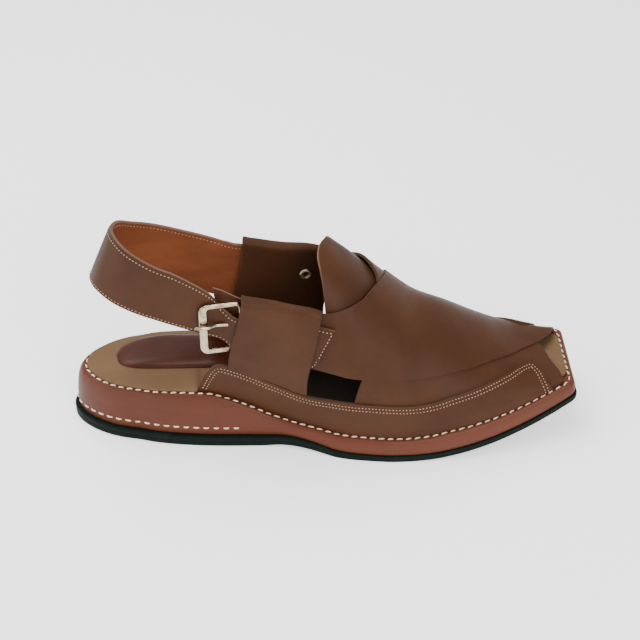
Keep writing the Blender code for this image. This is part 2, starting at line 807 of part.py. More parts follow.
def make_buckle_frame():
    """A flat plate frame: wide bar over the strap, thin pivot bar under it."""
    space, span = frame_space()
    tall = FRAME_TALL / 2
    outer = rounded_rectangle(-FRAME_SIDE / 2, span + FRAME_FLAT_BAR / 2, -tall, tall, FRAME_CORNER)
    inner = rounded_rectangle(FRAME_SIDE / 2, span - FRAME_FLAT_BAR / 2, -tall + FRAME_SIDE,
                              tall - FRAME_SIDE, FRAME_CORNER - FRAME_SIDE)
    count = len(outer)
    verts = [(x, y, z) for y in (-FRAME_THICK / 2, FRAME_THICK / 2) for ring in (outer, inner)
             for x, z in ring]
    faces = []
    for k in range(count):
        after = (k + 1) % count
        for a, b in ((0, 1), (1, 3), (3, 2), (2, 0)):
            faces.append((a * count + k, a * count + after, b * count + after, b * count + k))
    frame = mesh_object("buckle_frame", verts, faces)
    frame.matrix_world = space
    ease = frame.modifiers.new("round edges", "BEVEL")
    ease.width = FRAME_EASE
    ease.segments = 2
    ease.limit_method = "ANGLE"
    ease.angle_limit = math.radians(60)
    return frame


def prong_mesh(name, radius):
    """The prong: from the pivot bar out through the strap and over the flat bar."""
    space, span = frame_space()
    rows = [(span * along, PRONG_RADIUS * out, FRAME_TALL * up)
            for along, out, up in zip(PRONG["along"], PRONG["out"], PRONG["up"])]
    curve = bpy.data.curves.new(name, "CURVE")
    curve.dimensions = "3D"
    curve.bevel_depth = radius
    curve.bevel_resolution = 2
    curve.use_fill_caps = True
    spline = curve.splines.new("POLY")
    route = through(np.array(rows), 2)
    spline.points.add(len(route) - 1)
    for point, place in zip(spline.points, route):
        point.co = (*map(float, place), 1)
    source = bpy.data.objects.new(name + "_curve", curve)
    PARTS.objects.link(source)
    mesh = bpy.data.meshes.new_from_object(source.evaluated_get(bpy.context.evaluated_depsgraph_get()))
    bpy.data.objects.remove(source, do_unlink=True)
    welded = bmesh.new()
    welded.from_mesh(mesh)
    bmesh.ops.remove_doubles(welded, verts=welded.verts, dist=0.000001)
    bmesh.ops.recalc_face_normals(welded, faces=welded.faces)
    welded.to_mesh(mesh)
    welded.free()
    made = bpy.data.objects.new(name, mesh)
    PARTS.objects.link(made)
    made.matrix_world = space
    return made


def rivet_space():
    """Axis of the rivet through the medial strap, starting on the lining."""
    start = lifted(RIVET_ALONG, 1 - RIVET_ACROSS, -FUSED - GAP)
    end = lifted(RIVET_ALONG, 1 - RIVET_ACROSS, strap_lift(RIVET_ALONG, RIVET_ACROSS, 0.0) + LEATHER + GAP)
    axis = Vector(end - start)
    space = axis.to_track_quat("Z", "X").to_matrix().to_4x4()
    space.translation = Vector(start)
    return space, axis.length


def make_rivet():
    """A hollow rivet: two flanges on one tube."""
    space, long = rivet_space()
    profile = [(RIVET_BORE, long + RIVET_RIM), (RIVET_FLANGE, long + RIVET_RIM),
               (RIVET_FLANGE, long), (RIVET_SHANK, long), (RIVET_SHANK, 0), (RIVET_FLANGE, 0),
               (RIVET_FLANGE, -RIVET_RIM), (RIVET_BORE, -RIVET_RIM)]
    mesh = bpy.data.meshes.new("rivet")
    edges = [(k, (k + 1) % len(profile)) for k in range(len(profile))]
    mesh.from_pydata([(r, 0, z) for r, z in profile], edges, [])
    rivet = bpy.data.objects.new("rivet", mesh)
    PARTS.objects.link(rivet)
    rivet.matrix_world = space
    turned = rivet.modifiers.new("turned", "SCREW")
    turned.axis = "Z"
    turned.steps = RIVET_STEPS
    turned.render_steps = RIVET_STEPS
    turned.use_merge_vertices = True
    turned.merge_threshold = 0.00001
    turned.use_normal_calculate = True
    turned.use_normal_flip = True
    return rivet


def make_rivet_hole():
    space, long = rivet_space()
    bpy.ops.mesh.primitive_cylinder_add(vertices=RIVET_STEPS, radius=RIVET_SHANK + GAP,
                                        depth=HOLE_REACH * long)
    hole = bpy.context.object
    hole.name = "rivet_hole"
    for owner in hole.users_collection:
        owner.objects.unlink(hole)
    PARTS.objects.link(hole)
    hole.matrix_world = space @ Matrix.Translation((0, 0, long / 2))
    as_tool(hole)
    return hole


# Building blocks

def mesh_object(name, verts, faces):
    mesh = bpy.data.meshes.new(name)
    mesh.from_pydata([tuple(map(float, v)) for v in verts], [], faces)
    mesh.validate()
    made = bpy.data.objects.new(name, mesh)
    PARTS.objects.link(made)
    return made


def as_tool(tool):
    """Keep a form that only cuts or joins another out of the finished object."""
    tool.hide_render = True
    tool.display_type = "WIRE"
    PARTS.objects.unlink(tool)
    CUTTERS.objects.link(tool)


def join(body, piece):
    as_tool(piece)
    union = body.modifiers.new("join " + piece.name, "BOOLEAN")
    union.operation = "UNION"
    union.solver = "EXACT"
    union.object = piece


def cut(body, cutter):
    hole = body.modifiers.new("cut " + cutter.name, "BOOLEAN")
    hole.operation = "DIFFERENCE"
    hole.solver = "EXACT"
    hole.object = cutter


def material(name, colour, roughness, metallic=0.0):
    made = bpy.data.materials.new(name)
    made.use_nodes = True
    shader = made.node_tree.nodes["Principled BSDF"]
    shader.inputs["Base Color"].default_value = (*colour, 1)
    shader.inputs["Roughness"].default_value = roughness
    shader.inputs["Metallic"].default_value = metallic
    return made


def clear_scene():
    for old in list(bpy.data.objects):
        bpy.data.objects.remove(old, do_unlink=True)


clear_scene()
PARTS = bpy.data.collections.new("peshawari_chappal")
CUTTERS = bpy.data.collections.new("cutters")
bpy.context.scene.collection.children.link(PARTS)
bpy.context.scene.collection.children.link(CUTTERS)

pieces = [
    (make_outsole(), material("rubber", (0.010, 0.018, 0.015), 0.6)),
    (make_midsole(), material("sole_leather", (0.19, 0.075, 0.040), 0.45)),
    (make_insole(), material("insole_leather", (0.28, 0.19, 0.115), 0.7)),
    (make_heel_pad(), material("pad_leather", (0.13, 0.045, 0.026), 0.35)),
    (make_upper(), material("upper_leather", (0.14, 0.070, 0.038), 0.5)),
    (make_tongue(), material("tongue_leather", (0.14, 0.070, 0.038), 0.5)),
    (make_heel_strap(), material("strap_leather", (0.14, 0.070, 0.038), 0.5)),
    (make_buckle_frame(), material("nickel", (0.55, 0.50, 0.38), 0.3, 1.0)),
    (prong_mesh("buckle_prong", PRONG_RADIUS), material("prong_nickel", (0.55, 0.50, 0.38), 0.3, 1.0)),
    (make_rivet(), material("rivet_brass", (0.50, 0.42, 0.28), 0.35, 1.0)),
]
rivet_hole = make_rivet_hole()
prong_hole = prong_mesh("prong_hole", PRONG_RADIUS + GAP)
as_tool(prong_hole)
by_name = {piece.name: piece for piece, finish in pieces}
cut(by_name["upper"], rivet_hole)
cut(by_name["heel_strap"], rivet_hole)
cut(by_name["heel_strap"], prong_hole)
origin = bpy.data.objects.new("chappal", None)
PARTS.objects.link(origin)
origin.location = (-HEEL_CENTRE, 0, 0)
for piece, finish in pieces:
    piece.data.materials.append(finish)
    piece.parent = origin
for tool in CUTTERS.objects:
    tool.parent = origin
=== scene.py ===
"""A peshawari chappal for the right foot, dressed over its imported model.

The toe points along +X, the inner side of the foot is +Y, lengths are metres.
"""
import math

import bpy
import numpy as np
from mathutils import Matrix, Vector
from mathutils.bvhtree import BVHTree


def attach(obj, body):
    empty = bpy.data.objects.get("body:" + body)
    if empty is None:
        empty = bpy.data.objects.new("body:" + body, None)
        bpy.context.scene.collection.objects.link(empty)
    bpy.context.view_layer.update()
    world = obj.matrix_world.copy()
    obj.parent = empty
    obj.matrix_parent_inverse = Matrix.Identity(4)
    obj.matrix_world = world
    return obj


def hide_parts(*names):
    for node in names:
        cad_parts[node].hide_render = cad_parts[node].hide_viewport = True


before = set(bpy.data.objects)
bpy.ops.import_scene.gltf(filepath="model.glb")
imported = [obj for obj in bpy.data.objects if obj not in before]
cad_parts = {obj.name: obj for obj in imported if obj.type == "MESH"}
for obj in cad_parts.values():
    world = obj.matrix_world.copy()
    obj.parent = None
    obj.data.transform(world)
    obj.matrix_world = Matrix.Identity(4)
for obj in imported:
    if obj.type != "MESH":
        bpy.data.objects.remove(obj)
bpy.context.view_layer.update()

# Studio
# A pale floor sheet, three soft lights and a camera that looks down on the outer side.

camera = bpy.data.cameras.new("camera")
camera.sensor_width = 36.0
camera.lens = 82.41
eye = bpy.data.objects.new("camera", camera)
eye.location = (0.077914, -0.665773, 0.557976)
eye.rotation_euler = Vector((0.02483, 0.80111, -0.59799)).to_track_quat("-Z", "Y").to_euler()
bpy.context.scene.collection.objects.link(eye)
bpy.context.scene.camera = eye


def soft_light(name, place, size, power, colour):
    """A square softbox that faces the middle of the shoe."""
    lamp = bpy.data.lights.new(name, "AREA")
    lamp.size = size
    lamp.energy = power
    lamp.color = colour
    holder = bpy.data.objects.new(name, lamp)
    holder.location = place
    holder.rotation_euler = (Vector((0.10, 0, 0.03)) - Vector(place)).to_track_quat("-Z", "Y").to_euler()
    bpy.context.scene.collection.objects.link(holder)


soft_light("softbox_above", (-0.25, 0.35, 1.15), 0.9, 17.0, (1.0, 0.99, 0.97))
soft_light("softbox_front", (0.55, -0.95, 0.75), 0.9, 14.0, (1.0, 0.98, 0.96))
soft_light("softbox_heel", (-0.95, -0.35, 0.60), 0.6, 4.0, (0.97, 0.99, 1.0))
sky = bpy.data.worlds.new("studio_air")
sky.use_nodes = True
sky.node_tree.nodes["Background"].inputs["Color"].default_value = (0.93, 0.95, 0.97, 1)
sky.node_tree.nodes["Background"].inputs["Strength"].default_value = 0.85
bpy.context.scene.world = sky


class Wire:
    """One socket of a finish. Sums written with it add Math nodes."""

    def __init__(self, tree, socket=None):
        self.tree = tree
        self.socket = socket

    def node(self, kind, settings=(), sockets=(), output=0):
        made = self.tree.nodes.new("ShaderNode" + kind)
        for key, value in dict(settings).items():
            if key == "stops":
                while len(made.color_ramp.elements) < len(value):
                    made.color_ramp.elements.new(1.0)
                for element, (place, colour) in zip(made.color_ramp.elements, value):
                    element.position = place
                    element.color = colour
            else:
                setattr(made, key, value)
        for key, value in dict(sockets).items():
            self.plug(made.inputs[key], value)
        return Wire(self.tree, made.outputs[output])

    def plug(self, socket, value):
        if isinstance(value, Wire):
            self.tree.links.new(value.socket, socket)
        else:
            socket.default_value = value

    def math(self, operation, first, second=0.0):
        return self.node("Math", {"operation": operation}, {0: first, 1: second})

    def __add__(self, other):
        return self.math("ADD", self, other)

    def __sub__(self, other):
        return self.math("SUBTRACT", self, other)

    def __rsub__(self, other):
        return self.math("SUBTRACT", other, self)

    def __mul__(self, other):
        return self.math("MULTIPLY", self, other)

    __radd__ = __add__
    __rmul__ = __mul__

    def eased(self, low, high):
        """From 0 at low to 1 at high."""
        return self.node("MapRange", {"interpolation_type": "SMOOTHSTEP"},
                         {"Value": self, "From Min": low, "From Max": high})

    def mixed(self, first, second):
        """The first colour where this is 0, the second where it is 1."""
        return self.node("Mix", {"data_type": "RGBA"}, {0: self, 6: first, 7: second}, 2)


def new_finish(name):
    made = bpy.data.materials.new(name)
    made.use_nodes = True
    return made, Wire(made.node_tree), made.node_tree.nodes["Principled BSDF"].inputs


def noise(wire, size, detail=4.0, roughness=0.55, stretch=(1, 1, 1)):
    """Cloudy variation whose blots are about size metres across."""
    where = wire.node("TexCoord", output="Object")
    spread = wire.node("Mapping", {}, {"Vector": where, "Scale": stretch})
    return wire.node("TexNoise", {}, {"Vector": spread, "Scale": 1 / size, "Detail": detail,
                                      "Roughness": roughness})


FLOOR_GLOW = 0.8
floor_finish, wire, shader = new_finish("floor_paper")
speckle = noise(wire, 0.0012, 5.0)
wire.plug(shader["Base Color"],
          noise(wire, 0.5, 2.0).mixed((0.90, 0.91, 0.915, 1), (0.93, 0.935, 0.935, 1)))
shader["Emission Color"].default_value = (1.0, 1.0, 1.0, 1)
shader["Emission Strength"].default_value = FLOOR_GLOW
wire.plug(shader["Roughness"], 0.55 + speckle * 0.1)
wire.plug(shader["Normal"], wire.node("Bump", {}, {"Height": speckle, "Distance": 0.00003}))
floor_mesh = bpy.data.meshes.new("floor")
floor_mesh.from_pydata([(-4, -4, 0), (4, -4, 0), (4, 6, 0), (-4, 6, 0)], [], [(0, 1, 2, 3)])
floor_mesh.materials.append(floor_finish)
floor = bpy.data.objects.new("floor", floor_mesh)
bpy.context.scene.collection.objects.link(floor)

# Outsole
# The black rubber tread, moulded in one piece with a fine ribbed side and a chamfer at both
# rims. It is glued under the wedge and turns up towards the toe.

LENGTH = 0.290
HEEL_WIDTH = 0.071
BALL_WIDTH = 0.103
HEEL_CENTRE = 0.045
HEEL_RADIUS = 0.037
TOE_CORNER = 0.003
SEAT_HEIGHT = 0.033
TREAD_HEIGHT = 0.0132
TOE_SPRING = 0.0205
SPRING_START = 0.655
SPRING_POWER = 1.7
ARCH_RISE = 0.0025
ARCH_START = 0.36
ARCH_SPAN = 0.17
HEEL_RUBBER = 0.0068
FORE_RUBBER = 0.0041
RIM_WIDTH = 0.005


def table(names, *rows):
    """Columns by name, from one row for each section or fold."""
    return dict(zip(names.split(), np.array(rows, dtype=float).T))


OUTLINE = table(
    "along  heel_lateral  ball_lateral  heel_medial  ball_medial",
    (0.000, 0.338, 0.000, 0.338, 0.000),
    (0.069, 0.380, 0.000, 0.380, 0.000),
    (0.128, 0.416, 0.000, 0.416, 0.000),
    (0.172, 0.465, 0.000, 0.465, 0.000),
    (0.224, 0.500, 0.000, 0.493, 0.000),
    (0.286, 0.521, 0.000, 0.500, 0.000),
    (0.345, 0.528, 0.000, 0.490, 0.000),
    (0.397, 0.440, 0.070, 0.430, 0.038),
    (0.448, 0.180, 0.284, 0.200, 0.208),
    (0.507, 0.000, 0.461, 0.040, 0.348),
    (0.569, 0.000, 0.505, 0.000, 0.418),
    (0.638, 0.000, 0.524, 0.000, 0.461),
    (0.700, 0.000, 0.519, 0.000, 0.474),
    (0.755, 0.000, 0.500, 0.000, 0.473),
    (0.817, 0.000, 0.461, 0.000, 0.449),
    (0.883, 0.000, 0.398, 0.000, 0.406),
    (0.948, 0.000, 0.320, 0.000, 0.335),
    (1.000, 0.000, 0.248, 0.000, 0.267),
)
RISE = table(
    "along  seat  tread",
    (0.000, 1.00, 0.00),
    (0.276, 1.00, 0.00),
    (0.303, 0.94, 0.00),
    (0.334, 0.81, 0.06),
    (0.369, 0.60, 0.22),
    (0.403, 0.36, 0.40),
    (0.438, 0.17, 0.61),
    (0.472, 0.06, 0.84),
    (0.517, 0.00, 1.03),
    (0.655, 0.00, 1.00),
    (0.703, 0.00, 1.03),
    (0.748, 0.00, 1.10),
    (0.860, 0.00, 1.06),
    (0.930, 0.00, 1.03),
    (1.000, 0.00, 0.94),
)
RUBBER = table("along  heel  fore", (0.0, 1.0, 0.0), (0.33, 1.0, 0.0), (0.46, 0.5, 0.5), (0.6, 0.0, 1.0),
               (1.0, 0.0, 1.0))


def smooth(columns, name, at, key="along"):
    """A column read between its rows on a curve that never overshoots them."""
    xs, ys = columns[key], columns[name]
    step = np.diff(xs)
    slope = np.diff(ys) / step
    tangent = np.zeros(len(xs))
    tangent[0], tangent[-1] = slope[0], slope[-1]
    product = slope[:-1] * slope[1:]
    total = np.where(product > 0, slope[:-1] + slope[1:], 1.0)
    tangent[1:-1] = np.where(product > 0, 2 * product / total, 0.0)
    at = np.clip(at, xs[0], xs[-1])
    row = np.clip(np.searchsorted(xs, at) - 1, 0, len(xs) - 2)
    u = (at - xs[row]) / step[row]
    rise = (3 - 2 * u) * u * u
    lean_in = u * (1 - u) ** 2 * step[row] * tangent[row]
    lean_out = u * u * (1 - u) * step[row] * tangent[row + 1]
    return ys[row] * (1 - rise) + ys[row + 1] * rise + lean_in - lean_out


def ramp(value, start, end):
    """From 0 at start to 1 at end, eased at both."""
    u = np.clip((value - start) / (end - start), 0, 1)
    return u * u * (3 - 2 * u)


def underside(x):
    spring = np.clip((x / LENGTH - SPRING_START) / (1 - SPRING_START), 0, None) ** SPRING_POWER
    arch = np.sin(math.pi * np.clip((x / LENGTH - ARCH_START) / ARCH_SPAN, 0, 1)) ** 2
    return TOE_SPRING * spring + ARCH_RISE * arch


def rubber_top(x):
    share = x / LENGTH
    return (underside(x) + smooth(RUBBER, "heel", share) * HEEL_RUBBER
            + smooth(RUBBER, "fore", share) * FORE_RUBBER)


def rim(x):
    share = x / LENGTH
    return (underside(x) + smooth(RISE, "seat", share) * SEAT_HEIGHT
            + smooth(RISE, "tread", share) * TREAD_HEIGHT)


def half_width(x, side):
    share = x / LENGTH
    return (smooth(OUTLINE, "heel_" + side, share) * HEEL_WIDTH
            + smooth(OUTLINE, "ball_" + side, share) * BALL_WIDTH)


def stations():
    """Shares of the length, close together where the heel and the toe corners turn."""
    heel = HEEL_RADIUS * (1 - np.cos(np.linspace(0, math.pi / 2, 27)))
    middle = np.linspace(HEEL_RADIUS, LENGTH - TOE_CORNER, 131)[1:]
    corner = LENGTH - TOE_CORNER * (1 - np.sin(np.linspace(0, math.pi / 2, 8)))[1:]
    return np.concatenate([heel, middle, corner]) / LENGTH


def sole_ring(inset, height, toe=None):
    """The outline drawn in by inset(x), at height(x): heel point, lateral side, medial side.

    The toe end is drawn in by toe, where that is given.
    """
    shares = stations()
    heel_inset, toe_inset = inset(np.array([0.0, LENGTH]))
    toe_inset = toe_inset if toe is None else toe
    xs = heel_inset + (LENGTH - heel_inset - toe_inset) * shares
    turn = np.clip((xs - heel_inset) / (HEEL_RADIUS - heel_inset), 0, 1)
    heel_round = np.sqrt(1 - (1 - turn) ** 2)
    past_corner = np.clip((shares * LENGTH - LENGTH + TOE_CORNER) / TOE_CORNER, 0, 1)
    corner = TOE_CORNER * (1 - np.sqrt(1 - past_corner ** 2))
    rows = []
    for side, sign in (("lateral", -1), ("medial", 1)):
        ys = (half_width(xs, side) - inset(xs)) * heel_round - corner
        rows.append(np.stack([xs - HEEL_CENTRE, sign * ys, height(xs)], axis=1))
    return np.concatenate([rows[0], rows[1][:0:-1]])


def dress(name, points, faces, finishes, slot, *nodes):
    """A smooth mesh that rides on the shoe and stands for those solids. Its slot is not used."""
    mesh = bpy.data.meshes.new(name)
    mesh.from_pydata([tuple(map(float, p)) for p in points], [], faces)
    mesh.update()
    for finish in finishes:
        mesh.materials.append(finish)
    mesh.polygons.foreach_set("use_smooth", [True] * len(mesh.polygons))
    mesh.set_sharp_from_angle(angle=math.radians(42))
    piece = bpy.data.objects.new(name, mesh)
    bpy.context.scene.collection.objects.link(piece)
    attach(piece, "root")
    if nodes:
        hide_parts(*nodes)
    return piece


def stacked(name, rings, finishes, slot, *nodes):
    """A closed solid from rings of equal length, each cap a ladder from side to side."""
    count = len(rings[0])
    half = (count - 1) // 2
    faces = []
    for level in range(len(rings) - 1):
        low, high = level * count, (level + 1) * count
        for k in range(count):
            after = (k + 1) % count
            faces.append((low + k, low + after, high + after, high + k))
    for base, upward in ((0, False), ((len(rings) - 1) * count, True)):
        for k in range(half):
            rung = [base + k, base + k + 1, base + count - k - 1]
            if k:
                rung.append(base + count - k)
            faces.append(tuple(rung) if upward else tuple(reversed(rung)))
    return dress(name, np.concatenate(rings), faces, finishes, slot, *nodes)


tread_rubber, wire, shader = new_finish("tread_rubber")
dust = noise(wire, 0.012, 6.0, 0.7).eased(0.52, 0.78)
pitting = noise(wire, 0.0005, 3.0)
where = wire.node("SeparateXYZ", {}, {0: wire.node("TexCoord", output="Object")}, 2)
ribs = wire.math("SINE", where * (2 * math.pi / 0.0011))
wire.plug(shader["Base Color"], (dust * 0.5).mixed((0.004, 0.008, 0.0065, 1), (0.016, 0.021, 0.019, 1)))
shader["Specular IOR Level"].default_value = 0.05
wire.plug(shader["Roughness"], 0.46 + pitting * 0.18 + dust * 0.12)
wire.plug(shader["Normal"], wire.node("Bump", {}, {"Height": ribs * 0.35 + pitting, "Distance": 0.00012}))
LIP = 0.0008
RUBBER_RINGS = (
    (1.00, 0.00, 0.0), (0.30, 0.00, 0.3), (0.00, 0.00, 1.0), (0.00, 0.45, 0.0), (0.16, 0.50, 0.0),
    (0.00, 0.55, 0.0), (0.00, 1.00, -1.0), (0.30, 1.00, -0.3), (1.00, 1.00, 0.0),
)
rings = []
for inward, rise, step in RUBBER_RINGS:
    rings.append(sole_ring(lambda xs: np.full_like(xs, inward * LIP),
                           lambda xs: underside(xs) * (1 - rise) + rubber_top(xs) * rise + step * LIP))
stacked("outsole_dressed", rings, [tread_rubber], "rubber", "outsole")

# Wedge
# Board and leather under the foot, wrapped at the side in polished red-brown leather whose
# top edge is rounded over. Thick waxed thread holds it to the upper through its rim.

SEAM = table("along  inset", (0.0, 1.8), (0.052, 1.2), (0.141, 1.06), (0.241, 1.44), (0.345, 1.3),
             (0.448, 1.1), (0.552, 1.0), (1.0, 1.0))
WALL = table("rise  inward", (0.00, 0.00), (0.20, -0.06), (0.50, 0.06), (0.76, 0.26), (0.93, 0.58),
             (1.00, 1.00))
GAP = 0.0003
RIM_ROUND = 0.0014
WALL_FOOT_HEEL = 0.0026
WALL_FOOT_FORE = 0.0012


def seam_inset(x):
    return smooth(SEAM, "inset", x / LENGTH) * RIM_WIDTH


def wall_inset(x, inward):
    heel_share = ramp(x / LENGTH, 0.55, 0.35)
    foot = WALL_FOOT_HEEL * heel_share + WALL_FOOT_FORE * (1 - heel_share)
    return foot + (seam_inset(x) - RIM_ROUND - foot) * inward


def leather(name, deep, light, rough=0.5, coat=0.0, grain=1.0, streaks=(1, 1, 1), fade=0.16):
    """Smooth dyed leather: cloudy dye, darker pores, fine creases and a worn polish."""
    made, wire, shader = new_finish(name)
    cloudy = noise(wire, 0.045, 5.0, 0.6, streaks)
    mottle = noise(wire, 0.0045, 4.0, 0.6, streaks)
    pores = wire.node("TexVoronoi", {}, {"Vector": wire.node("TexCoord", output="Object"),
                                         "Scale": 1250.0})
    creases = noise(wire, 0.0011, 6.0, 0.65)
    tone = (cloudy.eased(0.34, 0.66) * 0.7 + mottle * 0.35).mixed(deep, light)
    dark = tuple(c * (1 - 2.2 * fade) for c in deep[:3]) + (1,)
    wire.plug(shader["Base Color"], (pores.eased(0.34, 0.05) * fade).mixed(tone, dark))
    wire.plug(shader["Roughness"], rough - 0.06 + mottle * 0.10 + creases * 0.06)
    height = creases * 0.55 + pores * 0.35 + mottle * 0.9
    wire.plug(shader["Normal"], wire.node("Bump", {}, {"Height": height, "Strength": 0.55 * grain,
                                                       "Distance": 0.00016}))
    shader["Specular IOR Level"].default_value = 0.12
    shader["Coat Weight"].default_value = coat
    shader["Coat Roughness"].default_value = 0.28
    return made


wedge_leather = leather("wedge_leather", (0.074, 0.0200, 0.0100, 1), (0.106, 0.0290, 0.0145, 1), 0.42, 0.06,
                        streaks=(0.35, 0.35, 1))
rings = []
for rise, inward in ((0.0, 0.0), (0.02, -0.04), (0.2, -0.06), (0.35, -0.02), (0.5, 0.06), (0.64, 0.155),
                     (0.76, 0.26), (0.85, 0.40), (0.93, 0.58), (0.975, 0.76), (0.995, 0.90), (1.0, 1.0),
                     (1.0, 1.3)):
    rings.append(sole_ring(lambda xs: wall_inset(xs, inward),
                           lambda xs: (rubber_top(xs) + GAP) * (1 - rise) + rim(xs) * rise))
wedge = stacked("wedge_dressed", rings, [wedge_leather], "sole_leather", "midsole")


def thread(name, colour, shade):
    """Waxed cotton thread with a twist."""
    made, wire, shader = new_finish(name)
    strand = wire.node("TexWave", {"bands_direction": "DIAGONAL"},
                       {"Vector": wire.node("TexCoord", output="Object"), "Scale": 900.0,
                        "Distortion": 1.5})
    soil = noise(wire, 0.006, 5.0, 0.65)
    wire.plug(shader["Base Color"], soil.eased(0.42, 0.75).mixed(colour, shade))
    wire.plug(shader["Roughness"], 0.55 + strand * 0.2)
    wire.plug(shader["Normal"], wire.node("Bump", {}, {"Height": strand, "Strength": 0.6,
                                                       "Distance": 0.00012}))
    return made


def along_path(path, pitch, closed=False):
    """Points at even steps along a path."""
    path = np.asarray(path)
    if closed:
        path = np.concatenate([path, path[:1]])
    run = np.concatenate([[0], np.cumsum(np.linalg.norm(np.diff(path, axis=0), axis=1))])
    count = max(int(round(run[-1] / pitch)), 2)
    at = np.linspace(0, run[-1], count + 1)[:-1] + run[-1] / count / 2
    return np.stack([np.interp(at, run, path[:, k]) for k in range(3)], axis=1)


def sewn(name, piece, path, pitch, long, thick, finish, slot, closed=False, proud=0.45, up=None, slant=0.0):
    """A row of stitches pressed onto a piece along a path, each an arched grain of thread.

    They are long and thick, one each pitch, and turned off the path by slant.
    """
    bpy.context.view_layer.update()
    surface = piece.evaluated_get(bpy.context.evaluated_depsgraph_get())
    shape = surface.to_mesh()
    tree = BVHTree.FromPolygons([v.co for v in shape.vertices], [p.vertices for p in shape.polygons])
    surface.to_mesh_clear()
    shake = np.random.default_rng(len(path) + int(pitch * 1e6))
    centres = along_path(path, pitch, closed)
    turns = 8
    grain = np.array([(-0.5, 0.12, -0.9), (-0.44, 0.62, -0.25), (-0.28, 0.95, 0.0), (0.0, 1.0, 0.12),
                      (0.28, 0.95, 0.0), (0.44, 0.62, -0.25), (0.5, 0.12, -0.9)])
    points, faces = [], []
    for k, centre in enumerate(centres):
        before = centres[k - 1] if k or closed else centres[k]
        after = centres[(k + 1) % len(centres)] if k + 1 < len(centres) or closed else centres[k]
        place, normal, _, _ = tree.find_nearest(Vector(centre))
        if up is not None and normal.dot(up) < 0:
            normal = -normal
        ahead = Vector(after - before)
        ahead = (ahead - normal * ahead.dot(normal)).normalized()
        side = normal.cross(ahead)
        lean = slant + shake.normal(0, 0.07)
        ahead, side = ahead + side * lean, side - ahead * lean
        size = 1 + shake.normal(0, 0.05)
        base = len(points)
        for step, width, height in grain:
            for turn in range(turns):
                angle = 2 * math.pi * turn / turns
                across = math.cos(angle) * thick * width
                high = math.sin(angle) * thick * width * 0.8 + thick * (height + proud)
                points.append(place + ahead * step * long * size + side * across + normal * high)
        for ring in range(len(grain) - 1):
            for turn in range(turns):
                after_turn = (turn + 1) % turns
                low, high = base + ring * turns, base + (ring + 1) * turns
                faces.append((low + turn, low + after_turn, high + after_turn, high + turn))
        faces.append(tuple(base + turn for turn in reversed(range(turns))))
        faces.append(tuple(base + (len(grain) - 1) * turns + turn for turn in range(turns)))
    return dress(name, points, faces, [finish], slot)


cream_thread = thread("cream_thread", (0.78, 0.62, 0.46, 1), (0.52, 0.36, 0.24, 1))
RIM_STITCH = (0.0051, 0.0034, 0.00049)
HEEL_STITCH = (0.0057, 0.0035, 0.00055)
HEEL_SEAM_HEIGHT = 0.0118
HEEL_SEAM_END = 0.098
seam_path = sole_ring(lambda xs: seam_inset(xs) - 0.0002, rim)
sewn("rim_seam", wedge, seam_path, *RIM_STITCH, cream_thread, "sole_leather", closed=True,
     up=Vector((0, 0, 1)), slant=0.16)
low_path = sole_ring(lambda xs: wall_inset(xs, -0.03), lambda xs: np.full_like(xs, HEEL_SEAM_HEIGHT))
low_path = np.roll(low_path, len(low_path) // 2, axis=0)
low_path = low_path[low_path[:, 0] < HEEL_SEAM_END - HEEL_CENTRE]
sewn("heel_seam", wedge, low_path, *HEEL_STITCH, cream_thread, "sole_leather")

# Insole
# Tan leather that lines the whole seat, cut a little inside the rim seam, with a bare edge. Under
# the bands its colour is painted with shade, running to near black where little light reaches it.

EDGE_GAP = 0.0005
INSOLE_THICK = 0.0016
UPPER_SET_IN = 0.005
FUSED = 0.0007
INSOLE = table("along  behind_wall", (0.0, 0.0), (0.250, 0.0), (0.266, 1.0), (1.0, 1.0))

tan_leather = leather("tan_leather", (0.115, 0.066, 0.032, 1), (0.155, 0.090, 0.044, 1), 0.62, 0.0,
                      fade=0.10)
shader = tan_leather.node_tree.nodes["Principled BSDF"].inputs
tan = Wire(tan_leather.node_tree, shader["Base Color"].links[0].from_socket)
run = tan.node("SeparateXYZ", {}, {0: tan.node("TexCoord", output="Object")}, 0)
# Painted shade: the tan runs to near black under the bands, from x 0.07 m to 0.215 m.
painted_shade = run.eased(0.070, 0.090) * (1 - run.eased(0.190, 0.215))
tan.plug(shader["Base Color"], painted_shade.mixed(tan, (0.005, 0.0030, 0.0016, 1)))


def insole_inset(xs):
    behind = smooth(INSOLE, "behind_wall", xs / LENGTH)
    return seam_inset(xs) + EDGE_GAP + behind * (UPPER_SET_IN + FUSED)


rings = []
for inward, rise in ((0.0, 0.0), (0.0, 0.72), (0.0001, 0.9), (0.0004, 1.0)):
    rings.append(sole_ring(lambda xs: insole_inset(xs) + inward,
                           lambda xs: rim(xs) + GAP + INSOLE_THICK * rise,
                           seam_inset(LENGTH) + EDGE_GAP + inward))
stacked("insole_dressed", rings, [tan_leather], "insole_leather", "insole")

# Heel seat
# A soft pad under glossy dark leather, glued on the tan insole nearer to the inner side, its
# edge turned under all round.

PAD_HEIGHT = 0.0030
PAD_WIDTH = 0.062
PAD = table(
    "along  near  far",
    (0.090, 0.070, 0.078),
    (0.094, -0.020, 0.152),
    (0.103, -0.080, 0.218),
    (0.120, -0.118, 0.280),
    (0.145, -0.136, 0.330),
    (0.185, -0.142, 0.360),
    (0.235, -0.143, 0.355),
    (0.285, -0.140, 0.322),
    (0.330, -0.130, 0.276),
    (0.365, -0.105, 0.232),
    (0.385, -0.060, 0.215),
    (0.393, 0.060, 0.100),
)
seat_leather = leather("seat_leather", (0.036, 0.0094, 0.0045, 1), (0.064, 0.0165, 0.0080, 1), 0.36, 0.06)


def pad_profile(u):
    """Steep turned edge, then a flat crown."""
    return (1 - (1 - u) ** 3.2) * 0.82 + 0.18 * u


